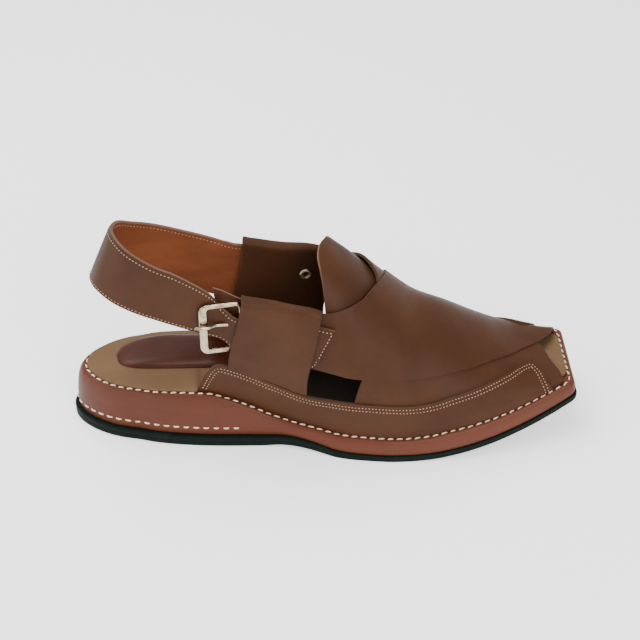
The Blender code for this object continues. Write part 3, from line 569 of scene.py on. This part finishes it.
shares = PAD["along"]
knots = np.linspace(0, 1, 61)
fine = shares[0] + (shares[-1] - shares[0]) * (1 - np.cos(math.pi * knots)) / 2
middle_x = (fine[0] + fine[-1]) / 2
rings = []
for k in range(15):
    u = k / 14
    scale = 1 - 0.965 * u ** 1.7
    near, far = smooth(PAD, "near", fine), smooth(PAD, "far", fine)
    middle, half = (near + far) / 2, (far - near) / 2 * scale
    xs = LENGTH * (middle_x + (fine - middle_x) * scale)
    zs = rim(xs) + INSOLE_THICK + 2 * GAP + PAD_HEIGHT * pad_profile(u)
    near_row = np.stack([xs - HEEL_CENTRE, (middle - half) * PAD_WIDTH, zs], axis=1)
    far_row = np.stack([xs - HEEL_CENTRE, (middle + half) * PAD_WIDTH, zs], axis=1)
    tip = (near_row[:1] + far_row[:1]) / 2
    rings.append(np.concatenate([tip, near_row[1:], far_row[:0:-1]]))
pad = stacked("heel_pad_dressed", rings, [seat_leather], "pad_leather", "heel_pad")

# Inner band
# The first of the two crossed bands: smooth brown leather lasted from the outer rim, over the
# toes, to its end under the inner side strap. Its cut edges are left bare.

INSTEP_HEIGHT = 0.100
RIDGE_ASIDE = 0.004
LEATHER = 0.0018
SECTION_STEPS = 192
LAST = table(
    "along  ridge  fullness  set_in",
    (0.259, 0.950, 5.00, 1.00),
    (0.345, 1.000, 5.00, 1.00),
    (0.414, 1.065, 4.00, 1.00),
    (0.466, 1.048, 3.20, 0.90),
    (0.507, 0.995, 2.80, 0.82),
    (0.541, 0.920, 2.55, 0.70),
    (0.572, 0.840, 2.35, 0.60),
    (0.603, 0.750, 2.25, 0.58),
    (0.638, 0.656, 2.20, 0.58),
    (0.679, 0.556, 2.10, 0.58),
    (0.721, 0.475, 2.10, 0.58),
    (0.755, 0.406, 2.10, 0.58),
    (0.786, 0.340, 2.10, 0.58),
    (0.821, 0.268, 2.10, 0.58),
    (0.859, 0.185, 2.20, 0.58),
    (0.893, 0.120, 2.50, 0.58),
    (0.928, 0.072, 2.90, 0.58),
    (0.962, 0.048, 3.30, 0.58),
    (1.000, 0.040, 3.50, 0.58),
)
INNER_BAND = table(
    "rear_along  rear_across  front_along  front_across",
    (0.545, 0.000, 0.969, 0.000),
    (0.556, 0.097, 0.964, 0.129),
    (0.570, 0.177, 0.960, 0.197),
    (0.590, 0.240, 0.951, 0.330),
    (0.606, 0.320, 0.944, 0.470),
    (0.610, 0.400, 0.937, 0.580),
    (0.607, 0.450, 0.915, 0.690),
    (0.602, 0.495, 0.862, 0.770),
    (0.600, 0.524, 0.800, 0.800),
    (0.588, 0.560, 0.724, 0.815),
    (0.552, 0.640, 0.614, 0.825),
    (0.499, 0.700, 0.479, 0.838),
    (0.431, 0.700, 0.417, 0.850),
)


def through(points, steps):
    """Points on a smooth curve through the rows of an array, steps to each span."""
    ends = np.concatenate([2 * points[:1] - points[1:2], points, 2 * points[-1:] - points[-2:-1]])
    curve = []
    for span in range(len(points) - 1):
        a, b, c, d = ends[span:span + 4]
        for k in range(steps):
            u = k / steps
            curve.append(0.5 * (2 * b + (c - a) * u + (2 * a - 5 * b + 4 * c - d) * u ** 2
                                + (3 * b - a - 3 * c + d) * u ** 3))
    curve.append(points[-1])
    return np.array(curve)


def on_last(along, across):
    """The last at shares of its length and of its girth from the lateral rim."""
    x = np.ravel(along) * LENGTH
    across = np.clip(np.ravel(across), 0, 1)
    set_in = seam_inset(x) + smooth(LAST, "set_in", x / LENGTH) * UPPER_SET_IN
    lateral = (half_width(x, "lateral") - set_in)[:, None]
    medial = (half_width(x, "medial") - set_in)[:, None]
    height = (smooth(LAST, "ridge", x / LENGTH) * INSTEP_HEIGHT)[:, None]
    power = (2 / smooth(LAST, "fullness", x / LENGTH))[:, None]
    turn = np.linspace(0, math.pi, SECTION_STEPS + 1)[None]
    aside, up = np.cos(turn), np.sin(turn)
    reach = np.where(aside > 0, lateral + RIDGE_ASIDE, medial - RIDGE_ASIDE)
    ys = RIDGE_ASIDE - np.sign(aside) * np.abs(aside) ** power * reach
    zs = (rim(x) + EDGE_GAP)[:, None] + height * np.abs(up) ** power
    run = np.concatenate([np.zeros((len(x), 1)),
                          np.cumsum(np.hypot(np.diff(ys), np.diff(zs)), axis=1)], axis=1)
    run /= run[:, -1:]
    before = np.clip((run <= across[:, None]).sum(1) - 1, 0, SECTION_STEPS - 1)
    row = np.arange(len(x))
    share = (across - run[row, before]) / (run[row, before + 1] - run[row, before])
    y = ys[row, before] * (1 - share) + ys[row, before + 1] * share
    z = zs[row, before] * (1 - share) + zs[row, before + 1] * share
    return np.stack([x - HEEL_CENTRE, y, z], axis=1)


def lifted(along, across, lift):
    """Those points moved off the last by lift, square to its surface."""
    along, across = np.ravel(along), np.ravel(across)
    nudge = 0.003
    ahead = on_last(along + nudge, across) - on_last(along - nudge, across)
    around = on_last(along, across + 3 * nudge) - on_last(along, across - 3 * nudge)
    normal = np.cross(ahead, around)
    normal /= np.linalg.norm(normal, axis=1)[:, None]
    return on_last(along, across) + normal * np.ravel(lift)[:, None]


def ribs_between(ribs, span_steps, rib_steps, first, second):
    """Shares along and across at each knot of a net between two edges of a piece."""
    columns = [ribs[first + "_along"], ribs[first + "_across"],
               ribs[second + "_along"], ribs[second + "_across"]]
    rows = through(np.array(columns).T, span_steps)
    blend = np.linspace(0, 1, rib_steps + 1)[None, :, None]
    return rows[:, None, :2] * (1 - blend) + rows[:, None, 2:] * blend


def sheet_of(name, points, thick, finishes, slot, *nodes, offset=1.0, bevel=0.00035, out=None, part=2):
    """A net of points made into leather: face, lining and bare edge, its corners rubbed round.

    Its face is turned towards out, as judged one part of the rows along.
    """
    rows, columns = points.shape[:2]
    faces = []
    for i in range(rows - 1):
        for j in range(columns - 1):
            k = i * columns + j
            faces.append((k, k + 1, k + columns + 1, k + columns))
    row, column = rows // part, columns // 2
    a, b, c = points[row, column], points[row, column + 1], points[row + 1, column]
    if np.dot(np.cross(b - a, c - a), out) < 0:
        faces = [tuple(reversed(face)) for face in faces]
    piece = dress(name, points.reshape(-1, 3), faces, finishes, slot, *nodes)
    shell = piece.modifiers.new("thickness", "SOLIDIFY")
    shell.thickness = thick
    shell.offset = offset
    shell.material_offset = 1
    shell.material_offset_rim = 2
    rubbed = piece.modifiers.new("rubbed corners", "BEVEL")
    rubbed.width = bevel
    rubbed.segments = 2
    rubbed.limit_method = "ANGLE"
    rubbed.angle_limit = math.radians(50)
    rubbed.harden_normals = True
    return piece


def over_last(name, net, lift, thick, finishes, slot, *nodes, medial=False):
    """A net of shares laid over the last at a lift."""
    along, across = net[..., 0], net[..., 1]
    side = 1 - across if medial else across
    points = lifted(along, side, np.broadcast_to(lift(along, across), along.shape))
    middle = (along[len(along) // 2, along.shape[1] // 2], side[len(side) // 2, side.shape[1] // 2])
    out = lifted(*middle, 0.001)[0] - lifted(*middle, 0.0)[0]
    return sheet_of(name, points.reshape(*net.shape[:2], 3), thick, finishes, slot, *nodes, out=out)


band_leather = leather("band_leather", (0.041, 0.0148, 0.0058, 1), (0.061, 0.0220, 0.0088, 1), 0.47, 0.0)
flesh_side = leather("flesh_side", (0.050, 0.026, 0.016, 1), (0.085, 0.045, 0.028, 1), 0.80, 0.0, 2.0)
cut_edge = leather("cut_edge", (0.048, 0.024, 0.0145, 1), (0.072, 0.036, 0.0215, 1), 0.70, 0.0, 2.2)
pale_edge = leather("pale_edge", (0.105, 0.055, 0.037, 1), (0.165, 0.095, 0.068, 1), 0.70, 0.0, 2.2)
LEATHER_SIDES = [band_leather, flesh_side, cut_edge]
PALE_SIDES = [band_leather, flesh_side, pale_edge]


def slack(along, across):
    """Gentle give where a band is drawn over the foot."""
    return 0.0001 * np.sin(23 * along + 9 * across) * np.sin(3.1 * across * math.pi)


over_last("inner_band", ribs_between(INNER_BAND, 7, 64, "rear", "front"),
          slack, LEATHER, LEATHER_SIDES, "upper_leather", "upper")

# Outer band
# The second band, lasted from the inner rim and crossing over the first, down to its end
# under the outer side strap. Its free front edge runs in one line over the toes.

OUTER_BAND = table(
    "rear_along  rear_across  front_along  front_across",
    (0.545, 0.000, 0.976, 0.000),
    (0.556, 0.097, 0.971, 0.120),
    (0.570, 0.177, 0.965, 0.217),
    (0.593, 0.240, 0.952, 0.300),
    (0.614, 0.320, 0.937, 0.385),
    (0.619, 0.400, 0.903, 0.510),
    (0.614, 0.458, 0.864, 0.626),
    (0.599, 0.522, 0.801, 0.719),
    (0.576, 0.591, 0.742, 0.760),
    (0.561, 0.620, 0.669, 0.785),
    (0.534, 0.655, 0.570, 0.819),
    (0.499, 0.683, 0.479, 0.838),
    (0.431, 0.700, 0.417, 0.850),
)
LAP = LEATHER - FUSED


def outer_lift(along, across):
    return LAP * ramp(along, 0.524, 0.552) * ramp(across, 0.08, 0.16)


over_last("outer_band", ribs_between(OUTER_BAND, 7, 64, "rear", "front"),
          lambda along, across: outer_lift(along, across) + 0.8 * slack(along, 1 - across),
          LEATHER, LEATHER_SIDES, "upper_leather", medial=True)

# Side straps
# Each is one wide strip folded over at the top, its two layers sewn together at the foot and
# open between, so that the heel strap runs through. A thin tab guards the ankle behind the
# buckle.

STRAP_THICK = 0.0020
SLOT_PLAY = 0.0005
FRAME_THICK = 0.0017
FOLD_RISE = 0.013
STRAP_OUTSIDE = table(
    "rear_along  rear_across  front_along  front_across",
    (0.316, 0.000, 0.466, 0.000),
    (0.318, 0.110, 0.470, 0.110),
    (0.327, 0.180, 0.479, 0.180),
    (0.337, 0.235, 0.488, 0.240),
    (0.343, 0.280, 0.493, 0.295),
    (0.346, 0.306, 0.495, 0.318),
)
STRAP_LINING = table(
    "rear_along  rear_across  front_along  front_across",
    (0.319, 0.000, 0.460, 0.000),
    (0.320, 0.110, 0.464, 0.110),
    (0.329, 0.180, 0.472, 0.180),
    (0.339, 0.235, 0.480, 0.240),
    (0.345, 0.280, 0.487, 0.295),
    (0.346, 0.306, 0.495, 0.318),
)
STRAP_OPENING = table("across  open", (0.0, 0.0), (0.045, 0.0), (0.100, 0.4), (0.152, 1.0), (1.0, 1.0))
INNER_FRONT = np.array([0.500, 0.508, 0.516, 0.518, 0.514, 0.508])
INNER_LINING_FRONT = np.array([0.492, 0.500, 0.508, 0.510, 0.508, 0.508])
OUTER_FOLD_DROP = np.array([0, 0, 0, 0, 0.006, 0.011])
STRAP_STACK = table("along  buckle", (0.0, 1.0), (0.362, 1.0), (0.398, 0.0), (1.0, 0.0))
strap_lining = leather("strap_lining", (0.050, 0.013, 0.0036, 1), (0.080, 0.021, 0.0056, 1), 0.62, 0.0, 1.4)


def strap_lift(along, across, with_buckle):
    """Clear of what runs under the strap's outside, down to fused at its foot."""
    plain = LEATHER + STRAP_THICK + 2 * SLOT_PLAY
    full = LAP + FRAME_THICK + STRAP_THICK + 3 * SLOT_PLAY
    open_lift = plain + (full - plain) * smooth(STRAP_STACK, "buckle", along) * with_buckle
    return FUSED + (open_lift - FUSED) * smooth(STRAP_OPENING, "open", across, "across")


for side, medial in (("outer", False), ("inner", True)):
    outside, inside = dict(STRAP_OUTSIDE), dict(STRAP_LINING)
    if medial:
        outside["front_along"] = INNER_FRONT
        inside["front_along"] = INNER_LINING_FRONT
    else:
        for layer in (outside, inside):
            for edge in ("rear_across", "front_across"):
                layer[edge] = layer[edge] - OUTER_FOLD_DROP
    up = ribs_between(outside, 6, 30, "rear", "front")
    down = ribs_between(inside, 6, 30, "rear", "front")[::-1]
    up_lift = strap_lift(up[..., 0], up[..., 1], 0.0 if medial else 1.0) + LEATHER / 2
    down_lift = np.full(down.shape[:2], LEATHER / 2 - FUSED)
    turns = np.linspace(0, math.pi, 11)[1:-1]
    net, lifts = [up], [up_lift]
    for turn in turns:
        share = (1 - math.cos(turn)) / 2
        row = up[-1:] * (1 - share) + down[:1] * share
        row = row + np.array([0, FOLD_RISE * math.sin(turn)])
        net.append(row)
        lifts.append(up_lift[-1:] * (1 - share) + down_lift[:1] * share)
    net, lifts = np.concatenate(net + [down]), np.concatenate(lifts + [down_lift])
    across = 1 - net[..., 1] if medial else net[..., 1]
    points = lifted(net[..., 0], across, lifts).reshape(*net.shape[:2], 3)
    sheet_of(side + "_side_strap", points, LEATHER, [band_leather, strap_lining, cut_edge],
             "upper_leather", offset=0.0, out=np.array([0, 1.0 if medial else -1.0, 0]), part=4)

GUARD = table(
    "rear_along  rear_across  front_along  front_across",
    (0.312, 0.185, 0.372, 0.185),
    (0.303, 0.225, 0.372, 0.225),
    (0.297, 0.262, 0.372, 0.260),
    (0.293, 0.306, 0.372, 0.292),
)
over_last("buckle_guard", ribs_between(GUARD, 6, 14, "rear", "front"),
          lambda along, across: -0.0016 * ramp(along, 0.345, 0.305) - FUSED / 3,
          LEATHER - FUSED, PALE_SIDES, "upper_leather")

# Side bands
# A long facing round each side of the foot, from behind the side strap to the toe, sewn
# through with two fine rows that follow its top edge.

SIDE_BAND = table(
    "foot_along  foot_across  edge_along  edge_across",
    (0.255, 0.000, 0.257, 0.006),
    (0.268, 0.000, 0.272, 0.048),
    (0.284, 0.000, 0.287, 0.080),
    (0.302, 0.000, 0.303, 0.092),
    (0.330, 0.000, 0.330, 0.093),
    (0.375, 0.000, 0.375, 0.091),
    (0.420, 0.000, 0.420, 0.088),
    (0.470, 0.000, 0.470, 0.084),
    (0.530, 0.000, 0.530, 0.096),
    (0.600, 0.000, 0.600, 0.112),
    (0.680, 0.000, 0.680, 0.126),
    (0.740, 0.000, 0.740, 0.146),
    (0.800, 0.000, 0.800, 0.176),
    (0.850, 0.000, 0.850, 0.222),
    (0.888, 0.000, 0.886, 0.285),
    (0.918, 0.000, 0.909, 0.300),
    (0.934, 0.000, 0.926, 0.210),
    (0.943, 0.000, 0.936, 0.080),
    (0.947, 0.000, 0.941, 0.012),
)
BAND_LAPS = table("along  foot  edge", (0.0, 1.5, 2.1), (0.48, 1.5, 2.1), (0.524, 1.0, 1.0),
                  (1.0, 1.0, 1.0))
INNER_TOE_DROP = 0.45
BAND_STITCH = (0.0019, 0.0009, 0.00030)
fine_thread = thread("fine_thread", (0.36, 0.24, 0.15, 1), (0.22, 0.13, 0.08, 1))


def side_band_lift(along, across, medial):
    foot, edge = smooth(BAND_LAPS, "foot", along), smooth(BAND_LAPS, "edge", along)
    lift = LAP * (foot + (edge - foot) * ramp(across, 0.0, 0.09))
    return lift + (outer_lift(along, across) if medial else 0.0)


for side, medial in (("outer", False), ("inner", True)):
    net = ribs_between(SIDE_BAND, 7, 22, "foot", "edge")
    if medial:
        net[..., 1] *= 1 - INNER_TOE_DROP * ramp(net[..., 0], 0.76, 0.86)
    band = over_last(side + "_side_band", net, lambda along, across: side_band_lift(along, across, medial),
                     LEATHER, LEATHER_SIDES, "upper_leather", medial=medial)
    edge = net[1:, -1]
    across = 1 - edge[:, 1] if medial else edge[:, 1]
    line = lifted(edge[:, 0], across, side_band_lift(edge[:, 0], edge[:, 1], medial) + LEATHER)
    surface = lifted(edge[:, 0], across, side_band_lift(edge[:, 0], edge[:, 1], medial) + 2 * LEATHER)
    outward = surface - line
    outward /= np.linalg.norm(outward, axis=1)[:, None]
    ahead = np.gradient(line, axis=0)
    inward = np.cross(ahead, outward) * (-1 if medial else 1)
    inward /= np.linalg.norm(inward, axis=1)[:, None]
    for number, distance in (("first", 0.0020), ("second", 0.0040)):
        path = line + inward * distance
        sewn(side + "_band_" + number + "_row", band, path, *BAND_STITCH, fine_thread,
             "upper_leather", proud=0.25)

# Tongue
# A rounded leather tongue under the crossing, its peaked rear edge standing free.

TONGUE_GAP = 0.0011
TONGUE_THICK = 0.0018
TONGUE = table(
    "rear_along  rear_across  front_along  front_across",
    (0.5020, 0.296, 0.560, 0.296),
    (0.4995, 0.376, 0.615, 0.376),
    (0.4965, 0.414, 0.640, 0.414),
    (0.4930, 0.450, 0.655, 0.450),
    (0.4960, 0.486, 0.663, 0.486),
    (0.5010, 0.512, 0.665, 0.512),
    (0.5060, 0.530, 0.664, 0.530),
    (0.5100, 0.548, 0.661, 0.548),
    (0.5160, 0.574, 0.655, 0.574),
    (0.5190, 0.610, 0.640, 0.610),
    (0.5210, 0.646, 0.612, 0.646),
    (0.5220, 0.675, 0.570, 0.675),
)
over_last("tongue_dressed", ribs_between(TONGUE, 7, 34, "rear", "front"),
          lambda along, across: -TONGUE_GAP - TONGUE_THICK, TONGUE_THICK,
          PALE_SIDES, "tongue_leather", "tongue")

# Heel strap
# One long strap, lined in rust-brown leather, that starts under the inner side strap, runs
# round the heel and out through the outer one to its slanted tail, sewn along both edges.

STRAP_DROP = 0.095
STRAP_IN_LATERAL = table(
    "low_along  low_across  high_along  high_across  buckle",
    (0.491, 0.198, 0.520, 0.289, 0.0),
    (0.479, 0.172, 0.507, 0.287, 0.0),
    (0.460, 0.168, 0.478, 0.282, 0.0),
    (0.430, 0.166, 0.440, 0.276, 0.0),
    (0.398, 0.166, 0.398, 0.269, 0.0),
    (0.362, 0.163, 0.362, 0.258, 1.0),
    (0.335, 0.160, 0.335, 0.250, 1.0),
)
STRAP_IN_MEDIAL = table(
    "low_along  low_across  high_along  high_across  buckle",
    (0.345, 0.140, 0.345, 0.299, 0.0),
    (0.380, 0.146, 0.380, 0.296, 0.0),
    (0.420, 0.155, 0.420, 0.291, 0.0),
    (0.460, 0.167, 0.460, 0.287, 0.0),
    (0.476, 0.178, 0.476, 0.285, 0.0),
)
STRAP_ROUND = table(
    "low_along  low_aside  low_height  high_along  high_aside  high_height",
    (0.309, -0.390, 0.743, 0.306, -0.360, 0.965),
    (0.278, -0.390, 0.780, 0.283, -0.372, 1.065),
    (0.240, -0.394, 0.828, 0.229, -0.376, 1.183),
    (0.183, -0.382, 0.892, 0.193, -0.362, 1.232),
    (0.142, -0.345, 0.928, 0.161, -0.317, 1.274),
    (0.106, -0.283, 0.963, 0.136, -0.238, 1.300),
    (0.079, -0.190, 0.992, 0.118, -0.132, 1.318),
    (0.067, -0.102, 0.998, 0.111, -0.056, 1.325),
    (0.062, 0.000, 0.990, 0.109, 0.010, 1.322),
    (0.068, 0.112, 0.980, 0.118, 0.132, 1.295),
    (0.082, 0.197, 0.968, 0.140, 0.224, 1.242),
    (0.108, 0.283, 0.937, 0.180, 0.315, 1.180),
    (0.143, 0.344, 0.880, 0.240, 0.368, 1.102),
    (0.184, 0.376, 0.808, 0.290, 0.384, 1.045),
    (0.240, 0.380, 0.700, 0.312, 0.362, 1.032),
    (0.305, 0.368, 0.632, 0.329, 0.352, 1.018),
)
STRAP_STITCH = (0.0021, 0.0010, 0.00030)
LINING_STITCH = (0.0021, 0.0010, 0.00028)
rust_lining = leather("rust_lining", (0.105, 0.029, 0.0101, 1), (0.185, 0.051, 0.0179, 1), 0.58, 0.0, 1.3,
                      streaks=(0.5, 0.5, 1.6))


def across_strap(low, high):
    blend = np.linspace(0, 1, 5)[:, None]
    return low * (1 - blend) + high * blend


def in_side_strap(columns, medial):
    rows = []
    for k in range(len(columns["buckle"])):
        shares = across_strap(np.array([columns["low_along"][k], columns["low_across"][k]]),
                              np.array([columns["high_along"][k], columns["high_across"][k]]))
        plain = LEATHER + SLOT_PLAY
        raised = LAP + FRAME_THICK + 2 * SLOT_PLAY
        lift = plain + (raised - plain) * columns["buckle"][k]
        across = 1 - shares[:, 1] if medial else shares[:, 1]
        rows.append(lifted(shares[:, 0], across, np.full(5, lift)))
    return rows


rows = in_side_strap(STRAP_IN_LATERAL, False)
for k in range(len(STRAP_ROUND["low_along"])):
    ends = []
    for edge in ("low", "high"):
        ends.append(np.array([STRAP_ROUND[edge + "_along"][k] * LENGTH - HEEL_CENTRE,
                              STRAP_ROUND[edge + "_aside"][k] * HEEL_WIDTH,
                              STRAP_ROUND[edge + "_height"][k] * STRAP_DROP]))
    rows.append(across_strap(*ends))
rows += in_side_strap(STRAP_IN_MEDIAL, True)
length_wise = through(np.array(rows), 7)
strap_net = through(length_wise.transpose(1, 0, 2), 5).transpose(1, 0, 2)
ahead = np.gradient(strap_net, axis=0)
around = np.gradient(strap_net, axis=1)
strap_out = np.cross(ahead, around)
strap_out /= np.linalg.norm(strap_out, axis=2)[..., None]
if strap_out[len(strap_out) // 2, 10, 0] > 0:
    strap_out = -strap_out
crown = 1 - (2 * np.linspace(0, 1, strap_net.shape[1]) - 1) ** 4
strap_net = strap_net + strap_out * (0.0003 * crown - 0.0002)[None, :, None]
middle = len(strap_net) // 2
heel_strap = sheet_of("heel_strap_dressed", strap_net, STRAP_THICK, [band_leather, rust_lining, pale_edge],
                      "strap_leather", "heel_strap", out=strap_out[middle, 10])
for number, column in (("lower", 0.042), ("upper", 0.932)):
    at = column * (strap_net.shape[1] - 1)
    low, part = int(at), at - int(at)
    line = strap_net[:, low] * (1 - part) + strap_net[:, low + 1] * part
    out = strap_out[:, low]
    sewn("strap_" + number + "_row", heel_strap, (line + out * (STRAP_THICK + 0.0003))[1:], *STRAP_STITCH,
         fine_thread, "strap_leather", proud=0.25)
sewn("lining_row", heel_strap, (line - out * 0.0008)[1:], *LINING_STITCH, fine_thread,
     "strap_leather", proud=0.2)
tail = strap_net[0] + strap_out[0] * (STRAP_THICK + 0.0003) + (strap_net[1] - strap_net[0]) * 0.9
sewn("strap_tail_row", heel_strap, tail[2:-2], *STRAP_STITCH, fine_thread, "strap_leather",
     proud=0.25)

# Buckle
# A cast frame with a broad worn bar over the strap, nickel on brass, and a loose prong of round
# wire whose tip rests on the bar.

FRAME_LONG = 0.0245
FRAME_TALL = 0.0320
FRAME_SIDE = 0.0027
FRAME_FLAT_BAR = 0.0046
FRAME_CORNER = 0.0045
PRONG_RADIUS = 0.0011
PIVOT_ALONG = 0.345
PIVOT_ACROSS = (0.156, 0.296)


def metal(name, bright, tarnish, rough):
    """Worn plating: tarnish in clouds, fine rubbing scratches."""
    made, wire, shader = new_finish(name)
    cloud = noise(wire, 0.0045, 5.0, 0.65).eased(0.42, 0.70)
    rubbed = noise(wire, 0.0006, 5.0, 0.7, (0.25, 1, 3))
    wire.plug(shader["Base Color"], cloud.mixed(bright, tarnish))
    wire.plug(shader["Roughness"], rough + cloud * 0.18 + rubbed * 0.10)
    wire.plug(shader["Normal"], wire.node("Bump", {}, {"Height": rubbed, "Strength": 0.4,
                                                       "Distance": 0.00008}))
    shader["Metallic"].default_value = 1.0
    return made


old_nickel = metal("old_nickel", (0.46, 0.37, 0.26, 1), (0.20, 0.15, 0.09, 1), 0.11)
middle_lift = LAP + SLOT_PLAY + FRAME_THICK / 2
low, high = (lifted(PIVOT_ALONG, across, middle_lift)[0] for across in PIVOT_ACROSS)
pivot = (low + high) / 2
span = FRAME_LONG - FRAME_FLAT_BAR / 2 - FRAME_SIDE / 2
aside = np.interp((pivot[0] + HEEL_CENTRE - span) / LENGTH, STRAP_ROUND["low_along"][1::-1],
                  STRAP_ROUND["low_aside"][1::-1])
beside = aside * HEEL_WIDTH - STRAP_THICK - 2 * SLOT_PLAY - FRAME_THICK / 2
flat = np.array([pivot[0] - span, beside, pivot[2]])
frame_up = Vector(high - low).normalized()
frame_back = Vector(flat - pivot).normalized()
frame_out = frame_up.cross(frame_back).normalized()
frame_up = frame_back.cross(frame_out).normalized()
buckle_space = Matrix((frame_back, frame_out, frame_up)).transposed().to_4x4()
buckle_space.translation = Vector(pivot)


def rounded_rectangle(low_x, high_x, low_z, high_z, corner, steps=8):
    points = []
    for cx, cz, start in ((high_x - corner, high_z - corner, 0), (low_x + corner, high_z - corner, 90),
                          (low_x + corner, low_z + corner, 180), (high_x - corner, low_z + corner, 270)):
        for k in range(steps + 1):
            turn = math.radians(start + 90 * k / steps)
            points.append((cx + corner * math.cos(turn), cz + corner * math.sin(turn)))
    return np.array(points)


outer = rounded_rectangle(-FRAME_SIDE / 2, span + FRAME_FLAT_BAR / 2, -FRAME_TALL / 2, FRAME_TALL / 2,
                          FRAME_CORNER)
inner = rounded_rectangle(FRAME_SIDE / 2, span - FRAME_FLAT_BAR / 2, -FRAME_TALL / 2 + FRAME_SIDE,
                          FRAME_TALL / 2 - FRAME_SIDE, FRAME_CORNER - FRAME_SIDE)
ROUND = 14
points, faces = [], []
for k in range(len(outer)):
    for turn in range(ROUND):
        angle = 2 * math.pi * turn / ROUND
        share = 0.5 + 0.5 * math.copysign(abs(math.cos(angle)) ** 0.6, math.cos(angle))
        rise = math.copysign(abs(math.sin(angle)) ** 0.8, math.sin(angle)) * FRAME_THICK / 2
        flat_point = inner[k] * (1 - share) + outer[k] * share
        points.append(buckle_space @ Vector((flat_point[0], rise, flat_point[1])))
for k in range(len(outer)):
    after = (k + 1) % len(outer)
    for turn in range(ROUND):
        nxt = (turn + 1) % ROUND
        faces.append((k * ROUND + turn, k * ROUND + nxt, after * ROUND + nxt, after * ROUND + turn))
dress("buckle_frame_dressed", points, faces, [old_nickel], "nickel", "buckle_frame")

PRONG = table(
    "along  out  up",
    (0.115, 0.00, 0.050),
    (0.330, 0.02, 0.058),
    (0.620, 0.00, 0.070),
    (0.750, 0.80, 0.077),
    (0.890, 2.10, 0.085),
    (1.120, 2.15, 0.100),
    (1.240, 1.80, 0.106),
)
route = through(np.stack([span * PRONG["along"], PRONG_RADIUS * PRONG["out"], FRAME_TALL * PRONG["up"]],
                         axis=1), 6)
points, faces = [], []
for k, place in enumerate(route):
    ahead = Vector(route[min(k + 1, len(route) - 1)] - route[max(k - 1, 0)]).normalized()
    side = ahead.cross(Vector((0, 0, 1))).normalized()
    up = side.cross(ahead)
    share = k / (len(route) - 1)
    tip = max(share - 0.93, 0.0) / 0.075
    radius = PRONG_RADIUS * math.sqrt(max(1 - tip ** 2, 0.05))
    for turn in range(ROUND):
        angle = 2 * math.pi * turn / ROUND
        points.append(buckle_space @ (Vector(place) + side * radius * 0.9 * math.cos(angle)
                                      + up * radius * math.sin(angle)))
for k in range(len(route) - 1):
    for turn in range(ROUND):
        nxt = (turn + 1) % ROUND
        faces.append((k * ROUND + turn, k * ROUND + nxt, (k + 1) * ROUND + nxt, (k + 1) * ROUND + turn))
faces.append(tuple(range(ROUND)))
faces.append(tuple((len(route) - 1) * ROUND + turn for turn in reversed(range(ROUND))))
dress("buckle_prong_dressed", points, faces, [old_nickel], "nickel", "buckle_prong")

# Rivet
# A hollow brass rivet through the inner side strap and the heel strap, with a rolled flange
# at each face.

RIVET_ALONG = 0.469
RIVET_ACROSS = 0.252
RIVET_SHANK = 0.0024
RIVET_BORE = 0.0016
RIVET_FLANGE = 0.0036
RIVET_RIM = 0.0008
old_brass = metal("old_brass", (0.62, 0.52, 0.36, 1), (0.28, 0.20, 0.11, 1), 0.26)
start = lifted(RIVET_ALONG, 1 - RIVET_ACROSS, -FUSED - GAP)[0]
end = lifted(RIVET_ALONG, 1 - RIVET_ACROSS, strap_lift(RIVET_ALONG, RIVET_ACROSS, 0.0) + LEATHER + GAP)[0]
axis = Vector(end - start)
rivet_space = axis.to_track_quat("Z", "X").to_matrix().to_4x4()
rivet_space.translation = Vector(start)
long = axis.length
profile = [(RIVET_BORE, long + 0.2 * RIVET_RIM)]
for k in range(9):
    turn = math.pi * k / 8
    profile.append(((RIVET_BORE + RIVET_FLANGE) / 2 - (RIVET_FLANGE - RIVET_BORE) / 2 * math.cos(turn),
                    long + RIVET_RIM * math.sin(turn)))
profile += [(RIVET_FLANGE, long - 0.0001), (RIVET_SHANK, long - 0.0001), (RIVET_SHANK, 0.0001),
            (RIVET_FLANGE, 0.0001)]
for k in range(9):
    turn = math.pi * k / 8
    profile.append(((RIVET_BORE + RIVET_FLANGE) / 2 + (RIVET_FLANGE - RIVET_BORE) / 2 * math.cos(turn),
                    -RIVET_RIM * math.sin(turn)))
profile.append((RIVET_BORE, -0.2 * RIVET_RIM))
TURNS = 40
points, faces = [], []
for turn in range(TURNS):
    angle = 2 * math.pi * turn / TURNS
    for radius, high in profile:
        points.append(rivet_space @ Vector((radius * math.cos(angle), radius * math.sin(angle), high)))
for turn in range(TURNS):
    nxt = (turn + 1) % TURNS
    for k in range(len(profile)):
        after = (k + 1) % len(profile)
        faces.append((turn * len(profile) + k, nxt * len(profile) + k, nxt * len(profile) + after,
                      turn * len(profile) + after))
dress("rivet_dressed", points, faces, [old_brass], "rivet_brass", "rivet")
